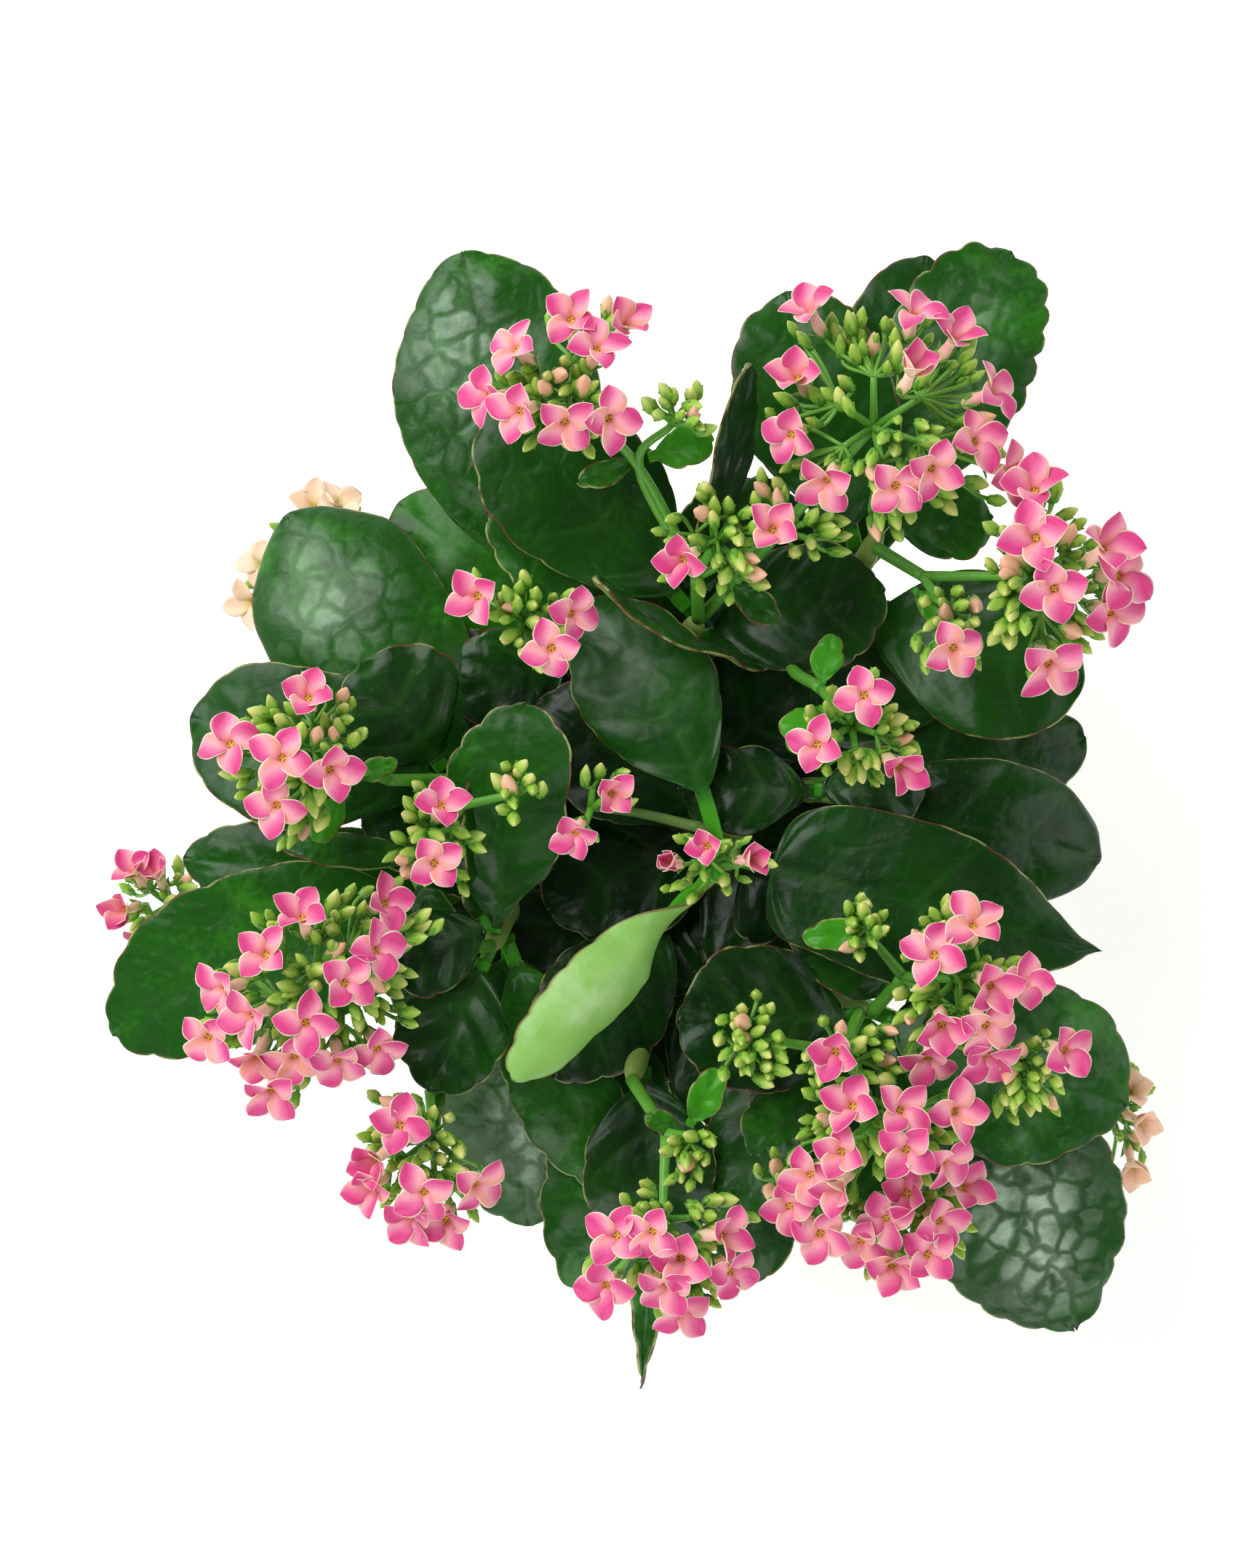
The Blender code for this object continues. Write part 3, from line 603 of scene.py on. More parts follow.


# Leaves: the shoot that bears each, how far up it, the tip and the width in millimetres, how far it arches, its
# roll and cup in degrees, how far it bows to the right, and its tone from dark to bright; the lowest tones, on
# leaves deep among the others, also paint the shade there. pucker, notch, gloss and plain say how wrinkled,
# notched, shiny and veinless it is. The sheen entry is (amount, share of the length, share of the half width) of
# a whitish painted sheen on its top. swell, end and foot give the outline: where it is broadest, and how blunt
# its two ends are. petiole is the stalk's share of the length.

leafSize = {"thickness": 2.0, "petiole": 2.4, "petioleShare": 0.08, "clearance": 1.3, "rows": 62,
            "columns": 27,
            "sweep": 0.7, "scallop": 13.0, "notch": 1.25, "veinPairs": 6, "swell": 1.1, "end": 0.5,
            "foot": 0.72,
            "stalkRows": 6, "wobble": 0.02, "puckerHeight": 0.8, "veinDepth": 0.18, "ribDepth": 0.4,
            "waveHeight": 1.1}
leaves = {
    "north_west_tall": dict(shoot="north_west", at=1.0, tip=(-52, 169, 178), width=64, arch=8,
                            cup=-8, tone=0.35, pucker=2.8, notch=0.6, paintedSheen=(0.6, 0.72, -0.25)),
    "north_west_bright": dict(shoot="north_west", at=0.5, tip=(-74, 97, 142), width=40, arch=8, roll=-8,
                              cup=10, tone=0.45, notch=0.3, pucker=0.4),
    "north_west_inner": dict(shoot="north", at=0.8, tip=(-44, 93, 180), width=36, arch=5, cup=10, tone=0.3),
    "north_broad": dict(shoot="north", at=1.0, tip=(-43, 123, 190), width=52, arch=8,
                        cup=8, tone=0.2, notch=1.3),
    "north_upright": dict(shoot="north", at=0.9, tip=(32, 133, 205), width=34, arch=8, roll=70,
                          cup=8, tone=0.15),
    "north_east_inner": dict(shoot="north", at=0.8, tip=(74, 69, 171), width=42, arch=6, tone=0.15),
    "back_broad": dict(shoot="north_east", at=0.9, tip=(44, 158, 172), width=52, arch=8, cup=8, tone=0.3),
    "back_low": dict(shoot="north_east", at=0.6, tip=(88, 172, 150), width=44, arch=8, tone=0.2, notch=0.4),
    "back_corner": dict(shoot="north_east", at=0.8, tip=(113, 172, 160), width=50, arch=8, cup=8,
                        tone=0.35, notch=2.0, pucker=1.6, swell=1.6, end=0.42, foot=0.85,
                        paintedSheen=(0.3, 0.7, -0.1)),
    "east_high": dict(shoot="north_east", at=0.7, tip=(133, 40, 170), width=52, arch=8,
                      cup=8, tone=0.25, notch=0.3),
    "east_small": dict(shoot="north_east", at=1.0, tip=(105, 90, 182), width=26, arch=5, cup=8, tone=0.35),
    "middle_upright": dict(shoot="north_east", at=0.5, tip=(-13, 71, 206), width=24, arch=10, roll=80,
                           bow=-9, tone=0.3, notch=0.5, paintedSheen=(0.35, 0.6, 0.0)),
    "east_glossy": dict(shoot="east", at=0.8, tip=(141, -12, 152), width=50, arch=12,
                        cup=-25, tone=0.1, gloss=1, notch=0.2),
    "east_low": dict(shoot="east", at=0.5, tip=(138, 25, 138), width=44, arch=8, tone=0.15),
    "east_pointed": dict(shoot="middle", at=0.9, tip=(138, -39, 176), width=52, arch=8, cup=8,
                         tone=0.15, swell=0.72, end=0.95, foot=0.42, notch=0.5),
    "middle_dark": dict(shoot="east", at=0.9, tip=(12, 10, 172), width=30, arch=8,
                        cup=-10, tone=0.05, gloss=1),
    "middle_glossy": dict(shoot="middle", at=1.0, tip=(-20, 62, 176), width=44, arch=6, cup=-15, petiole=0.2,
                          bow=8, tone=0.25, notch=0.8, pucker=0.35, foot=0.85, paintedSheen=(0.15, 0.75, 0.2)),
    "middle_left": dict(shoot="middle", at=0.6, tip=(-30, 36, 165), width=42, arch=6, tone=0.05),
    "middle_low": dict(shoot="middle", at=0.35, tip=(-28, -28, 150), width=46, arch=6, tone=0.0, gloss=1),
    "middle_right": dict(shoot="middle", at=0.8, tip=(52, -30, 168), width=38, arch=4, tone=0.0, notch=1.6),
    "turned_over": dict(shoot="middle", at=0.95, tip=(-37, -75, 205), width=27, arch=10, roll=160,
                        petiole=0.02,
                        cup=48, tone=0.7, notch=1.0, pucker=0.15, plain=0.15, swell=1.35, end=0.45,
                        foot=0.75),
    "south_east_upper": dict(shoot="south_east", at=0.95, tip=(147, -86, 166), width=62, arch=10,
                             cup=-8, tone=0.35, pucker=2.0, notch=1.2, paintedSheen=(0.3, 0.55, -0.2)),
    "south_east_large": dict(shoot="south_east", at=0.9, tip=(133, -155, 150), width=68, arch=12, cup=-8,
                             bow=-8, tone=0.25, pucker=3.6, notch=1.6, paintedSheen=(1.1, 0.7, 0.0)),
    "south_inner": dict(shoot="south_east", at=0.6, tip=(28, -122, 160), width=34, arch=8, roll=25,
                        cup=8, tone=0.3, pucker=2.4),
    "south_curled": dict(shoot="south_east", at=1.0, tip=(11, -60, 184), width=48, arch=6,
                         cup=15, tone=0.05, gloss=1),
    "south_low": dict(shoot="south_east", at=0.5, tip=(34, -143, 140), width=38, arch=8, tone=0.2),
    "south_brown": dict(shoot="south_west", at=0.85, tip=(-9, -113, 148), width=36, arch=6,
                        cup=-8, tone=0.35, notch=1.4),
    "south_dark": dict(shoot="south", at=0.85, tip=(6, -130, 158), width=44, arch=6, cup=8, tone=0.1),
    "south_glossy": dict(shoot="south", at=0.55, tip=(-18, -147, 136), width=42, arch=8,
                         tone=0.35, notch=1.4),
    "south_narrow": dict(shoot="south", at=0.3, tip=(1, -179, 116), width=15, arch=10,
                         cup=60, tone=0.4, end=0.8),
    "south_west_long": dict(shoot="south_west", at=0.75, tip=(-34, -127, 124), width=54, arch=6, foot=0.55,
                            cup=10, tone=0.35, pucker=1.5, paintedSheen=(0.75, 0.7, -0.1)),
    "south_west_large": dict(shoot="south_west", at=0.9, tip=(-160, -66, 152), width=56, arch=10, cup=10,
                             bow=12, tone=0.35, notch=1.3),
    "west_low": dict(shoot="south_west", at=0.5, tip=(-140, -12, 140), width=34, arch=8, tone=0.3),
    "west_folded": dict(shoot="south_west", at=1.0, tip=(-33, 35, 188), width=46, arch=6, roll=-20,
                        cup=35, tone=0.3, foot=0.8, notch=1.3, petiole=0.02, swell=1.3),
    "west_round": dict(shoot="west", at=0.7, tip=(-107, 93, 152), width=64, arch=14,
                       cup=-25, tone=0.35, pucker=0.8, notch=0.15, gloss=1, paintedSheen=(0.4, 0.72, -0.1)),
    "west_broad": dict(shoot="west", at=0.85, tip=(-135, 31, 162), width=54, arch=8,
                       cup=8, tone=0.25, notch=0.6),
    "west_upper": dict(shoot="west", at=1.0, tip=(-82, 47, 186), width=46, arch=6, tone=0.15),
}


def leafBase(plan):
    path = shootPaths[plan["shoot"]]
    start = alongPath(path, plan["at"])
    ahead = unit(alongPath(path, min(1, plan["at"] + 0.05)) - alongPath(path, plan["at"] - 0.05))
    away = point(plan["tip"]) - start
    away[2] = 0
    away = unit(away)
    if plan["at"] < 1:
        away = unit(away - ahead * away.dot(ahead))
    return start + away * (stemSize["shoot"] + leafSize["clearance"]) * mm


def makeLeaf(name, plan, base, replaced, small=False):
    rows = 26 if small else leafSize["rows"]
    columns = 13 if small else leafSize["columns"]
    seed = sum(ord(c) * (i + 3) for i, c in enumerate(name)) % 97
    tip = point(plan["tip"])
    width = plan["width"] * mm
    share = plan.get("petiole", leafSize["petioleShare"])
    petiole = min(leafSize["petiole"] * mm, width * 0.12)
    sideways = unit(np.cross(tip - base, up))
    control = (base + tip) / 2 + 2 * plan["arch"] * mm * up + 2 * plan.get("bow", 0) * mm * sideways
    length = np.linalg.norm(tip - base) * (1 - share) * 1.03

    # the outline: half widths at shares of the blade's length, with rounded teeth between small notches
    s = np.linspace(0, 1, rows)
    u = (1 - np.cos(math.pi * s)) / 2
    swell, end, foot = (plan.get(key, leafSize[key]) for key in ("swell", "end", "foot"))

    def halfWidth(at):
        v = np.clip(at, 0, 1) ** swell
        bulge = np.clip(1 - np.abs(2 * v - 1) ** 2.2, 0, 1) ** np.where(v < 0.5, foot, end)
        return np.maximum(width / 2 * bulge, np.where(at < 0.2, petiole, 0.0))

    h = halfWidth(u)
    edgeU = u * length
    reach = np.concatenate([[0], np.cumsum(np.hypot(np.diff(edgeU), np.diff(h)))])
    normalU = -np.gradient(h)
    normalB = np.gradient(edgeU)
    size = np.maximum(np.hypot(normalU, normalB), 1e-9)
    c = np.linspace(-1, 1, columns)
    c = np.sign(c) * (1 - (1 - np.abs(c)) ** 1.6)
    blade = {}
    for hand in (-1, 1):
        pitch = leafSize["scallop"] * mm * (0.85 + 0.3 * ((seed * (3 + hand)) % 7) / 7)
        count = reach / pitch + 0.13 * seed + 0.3 * np.sin(reach / (21 * mm) + seed + hand)
        teeth = np.abs(np.sin(math.pi * count)) ** 0.5
        depth = leafSize["notch"] * mm * plan.get("notch", 1.0) * smoothStep(0.2, 0.5,
                                                                             reach / reach[-1]) * (1 - teeth)
        wobble = np.sin(s * 7 + seed + 2 * hand) + 0.5 * np.sin(s * 17 + seed * 2 + hand) + 1.5
        wobble = wobble * smoothStep(0.1, 0.3, s) * smoothStep(1.0, 0.8, s)
        depth = depth + width * leafSize["wobble"] * wobble
        blade[hand] = (np.clip(edgeU - depth * normalU / size, 0, length) / length,
                       np.maximum(h - depth * normalB / size, 0))
    middle = u - leafSize["sweep"] * h / length
    middle = np.maximum.accumulate(np.clip(middle, 0, 1)) + np.linspace(0, 1, rows) * 0.03
    middle = middle / middle[-1]
    gridU = np.zeros((rows, columns))
    gridB = np.zeros((rows, columns))
    for j, side in enumerate(c):
        hand = -1 if side < 0 else 1
        eu, eb = blade[hand]
        a = abs(side)
        gridU[:, j] = middle + (eu - middle) * (0.35 * a + 0.65 * a**1.6)
        gridB[:, j] = eb * side
    gridU[-1] = 1.0
    gridB[-1] = np.sign(c) * 0.15 * mm * np.abs(c)
    local = np.maximum(halfWidth(gridU), 1e-6)
    rel = np.clip(gridB / local, -1.05, 1.05)

    def withStalk(stalk, blade):
        # the stalk's rows of values in front of the blade's
        return np.concatenate([np.broadcast_to(value, (count, columns))
                               for value, count in ((stalk, leafSize["stalkRows"]), (blade, rows))])

    stalkT = np.linspace(0, share, leafSize["stalkRows"] + 1)[:-1]
    t = withStalk(stalkT[:, None], share + (1 - share) * gridU)
    rel = withStalk(c, rel)
    local = withStalk(petiole, local)
    signed = withStalk(c, c)
    a = np.abs(signed)
    onBlade = smoothStep(share * 0.9, share * 1.5, t)

    place = ((1 - t) ** 2)[..., None] * base + (2 * t * (1 - t))[..., None] * control
    place = place + (t**2)[..., None] * tip
    ahead = (1 - t)[..., None] * (control - base) + t[..., None] * (tip - control)
    ahead /= np.linalg.norm(ahead, axis=-1, keepdims=True)
    flat = np.cross(ahead, up)
    flat /= np.linalg.norm(flat, axis=-1, keepdims=True)
    grow = np.minimum(1, t / 0.4)
    roll = np.radians(plan.get("roll", 0)) * grow
    side = flat * np.cos(roll)[..., None] + np.cross(ahead, flat) * np.sin(roll)[..., None]
    lift = np.cross(side, ahead)
    cup = np.radians(plan.get("cup", 0)) * grow
    cup = np.where(np.abs(cup) < 1e-3, 1e-3, cup)
    turn = cup * rel
    across = local * np.sin(turn) / cup
    rise = local * (1 - np.cos(turn)) / cup
    middleLine = place + side * across[..., None] + lift * rise[..., None]
    normal = lift * np.cos(turn)[..., None] - side * np.sin(turn)[..., None]

    # veins run along the grid's rows, and the flesh swells between them
    rowShare = withStalk(0.0, s[:, None])
    pairs = leafSize["veinPairs"] - (2 if small else 0)
    phase = (rowShare ** 0.85) * pairs + 0.35
    near = np.abs(phase - np.round(phase))
    plain = plan.get("plain", 1.0)
    vein = plain * np.exp(-((near * length / pairs) / (0.9 * mm)) ** 2) * onBlade
    vein = vein * (1 - a) ** 0.35 * smoothStep(0.0, 0.12, a)
    bladeShare = np.clip((t - share) / (1 - share), 0, 1)
    rib = plain * np.exp(-((a * local) / (1.1 * mm)) ** 2) * (1 - 0.8 * bladeShare)
    pucker = plan.get("pucker", 1.0)
    swell = np.cos(math.pi * 2 * near) * -0.5 + 0.5
    swell = swell * np.sin(math.pi * np.clip(a, 0,
                                             1)) ** 0.8 * (0.75 + 0.25
                                                           * np.sin(a * 9 + seed + 3 * np.round(phase)))
    relief = pucker * leafSize["puckerHeight"] * mm * swell * onBlade
    relief = relief - leafSize["veinDepth"] * mm * vein - leafSize["ribDepth"] * mm * rib * onBlade
    wave = np.sin(rowShare * 17 + seed) * 0.6 + np.sin(rowShare * 31 + seed * 1.7) * 0.4
    relief = relief + leafSize["waveHeight"] * mm * wave * a**2.2 * onBlade * min(1, width / (40 * mm))
    middleLine = middleLine + normal * relief[..., None]

    body = (1 - a**5) ** 0.5
    body[:, 0] = body[:, -1] = 0.12
    thick = leafSize["thickness"] * mm / 2 * body * np.where(t < share, 1.25, 1.0) * (0.55 if small else 1.0)
    thick[-1] = 0.12 * mm
    belly = thick + 0.45 * mm * rib * onBlade + 0.16 * mm * vein * onBlade
    top = middleLine + normal * thick[..., None]
    bottom = middleLine - normal * belly[..., None]
    fromEdge = np.minimum((1 - a) * local, (1 - bladeShare) * length) / mm
    fromEdge = np.where(t < share, 5.0, fromEdge)
    sheaf = newSheaf()
    # a whitish painted sheen, centred where the leaf's sheen entry puts it, and thinner along the veins
    strength, paintedSheenAt, paintedSheenSide = plan.get("paintedSheen", (0.0, 0.5, 0.0))
    paintedSheenFilm = strength * np.exp(-(((t - paintedSheenAt) / 0.24) ** 2 + ((signed - paintedSheenSide) / 0.55) ** 2)) * (1 - 0.5
                                                                                                 * vein)
    addShell(sheaf, top, bottom, "leafTop", "leafUnder",
             {"paintedSheen": paintedSheenFilm, "gloss": plan.get("gloss", 0), "wrinkle": min(1.6, 0.25 + 0.55 * pucker),
              "tone": plan.get("tone", 0.2) + 0.45 * (1 - smoothStep(share * 0.6, share * 1.3, t)),
              "vein": np.maximum(vein, rib), "fromEdge": fromEdge})
    makePiece(("bract." if small else "leaf.") + name, sheaf, replaced)


for leafName, leafPlan in leaves.items():
    makeLeaf(leafName, leafPlan, leafBase(leafPlan), ["leaf_" + leafName])
print(len(leaves), "leaves made")


# Lower leaves round the stems, and the small ones among them: foot, tip and looks, in millimetres

lowerLeaves = {"count": 13, "foot": 16, "tip": 84, "height": 122, "rise": 16, "width": 50}


def makeLowerLeaves():
    for i in range(lowerLeaves["count"]):
        angle = i * 2.39996 + 0.4
        ahead = np.array((math.cos(angle), math.sin(angle), 0.0))
        level = i / lowerLeaves["count"]
        foot = point((4, 0, lowerLeaves["height"] + 12 * level)) + ahead * lowerLeaves["foot"] * mm
        tip = point((4, 0, lowerLeaves["height"] + 8 + lowerLeaves["rise"]
                     * level)) + ahead * lowerLeaves["tip"] * mm
        # tone 0 makes these lower leaves the darkest: painted shade under the canopy
        plan = dict(tip=tip / mm, width=lowerLeaves["width"], arch=7, tone=0.0, gloss=i % 2, notch=0.8)
        makeLeaf(f"lower{i + 1}", plan, foot, [])


# the low tones of the leaves set under others here paint the shade they lie in
insideLeaves = {
    "underNorthWest": ((-20, 50, 150), dict(tip=(-56, 36, 158), width=34, arch=6, tone=0.1, gloss=1)),
    "besideFold": ((-48, -34, 158), dict(tip=(-49, 16, 180), width=22, arch=4, roll=70, tone=0.3)),
    "underPink": ((68, -62, 160), dict(tip=(34, -101, 164), width=30, arch=5, tone=0.4)),
    "behindCluster": ((80, -52, 164), dict(tip=(46, -33, 172), width=24, arch=5, roll=20, tone=0.25)),
    "underEast": ((52, 20, 140), dict(tip=(92, 62, 150), width=44, arch=8, tone=0.1)),
    "underNorth": ((24, 50, 140), dict(tip=(38, 104, 158), width=46, arch=6, tone=0.05)),
    "underSouth": ((6, -52, 138), dict(tip=(52, -96, 148), width=44, arch=6, tone=0.05)),
    "underWest": ((-38, 8, 140), dict(tip=(-84, -2, 158), width=42, arch=6, tone=0.1)),
    "underCorner": ((-40, -34, 140), dict(tip=(-74, -58, 150), width=34, arch=6, tone=0.25)),
    "underRound": ((-34, 20, 138), dict(tip=(-70, 52, 144), width=44, arch=6, tone=0.1)),
    "underFlowers": ((62, -58, 150), dict(tip=(86, -122, 158), width=52, arch=5, tone=0.1)),
    "besideCluster": ((82, -54, 160), dict(tip=(126, -74, 170), width=32, arch=5, tone=0.15)),
    "overStalk": ((-46, -42, 177), dict(tip=(-62, -80, 186), width=36, arch=4, tone=0.2)),
    "overHead": ((-45, -30, 178), dict(tip=(-73, -46, 191), width=27, arch=4, tone=0.1)),
    "overKnob": ((53, 9, 175), dict(tip=(86, 11, 176), width=27, arch=5, tone=0.05)),
    "underTurned": ((10, -28, 140), dict(tip=(-26, -78, 160), width=42, arch=6, tone=0.05)),
}
bracts = {
    "forkSpoon": ((0, 105, 200), dict(tip=(-18, 98, 204), width=9, arch=1, cup=30, tone=0.45)),
    "forkOval": ((3, 106, 200), dict(tip=(22, 111, 203), width=14, arch=1, cup=20, tone=0.7)),
    "northCurl": ((27, 70, 188), dict(tip=(41, 58, 190), width=11, arch=3, cup=35, tone=0.4)),
    "middleRound": ((54, 40, 184), dict(tip=(57, 55, 188), width=11, arch=2, cup=15, tone=0.85)),
    "middleShield": ((55, 33, 184), dict(tip=(44, 21, 186), width=16, arch=2, cup=10, tone=0.7)),
    "westOval": ((-66, -18, 178), dict(tip=(-56, -35, 180), width=13, arch=2, tone=0.3)),
    "westNarrow": ((-62, -12, 176), dict(tip=(-107, -6, 180), width=13, arch=4, roll=25, tone=0.35)),
    "westPale": ((-86, 8, 190), dict(tip=(-96, -6, 190), width=11, arch=2, cup=25, tone=0.9)),
    "westSlim": ((-84, 12, 190), dict(tip=(-71, 18, 190), width=8, arch=1, cup=25, tone=0.6)),
    "eastSpoon": ((72, -32, 192), dict(tip=(48, -34, 194), width=11, arch=2, cup=20, tone=0.7)),
    "frontOval": ((15, -90, 186), dict(tip=(24, -73, 190), width=12, arch=2, cup=20, tone=0.7)),
    "frontSlim": ((13, -92, 186), dict(tip=(2, -86, 190), width=8, arch=2, cup=20, tone=0.5)),
    "eastSlim": ((81, 68, 190), dict(tip=(91, 57, 192), width=9, arch=2, cup=25, tone=0.6)),
    "leftSlim": ((-58, -76, 176), dict(tip=(-63, -98, 178), width=6, arch=3, cup=30, tone=0.5)),
}


makeLowerLeaves()
for leafName, (foot, leafPlan) in insideLeaves.items():
    makeLeaf(leafName, leafPlan, point(foot), [])
for leafName, (foot, leafPlan) in bracts.items():
    makeLeaf(leafName, leafPlan, point(foot), [], small=True)
print("lower leaves and bracts made")
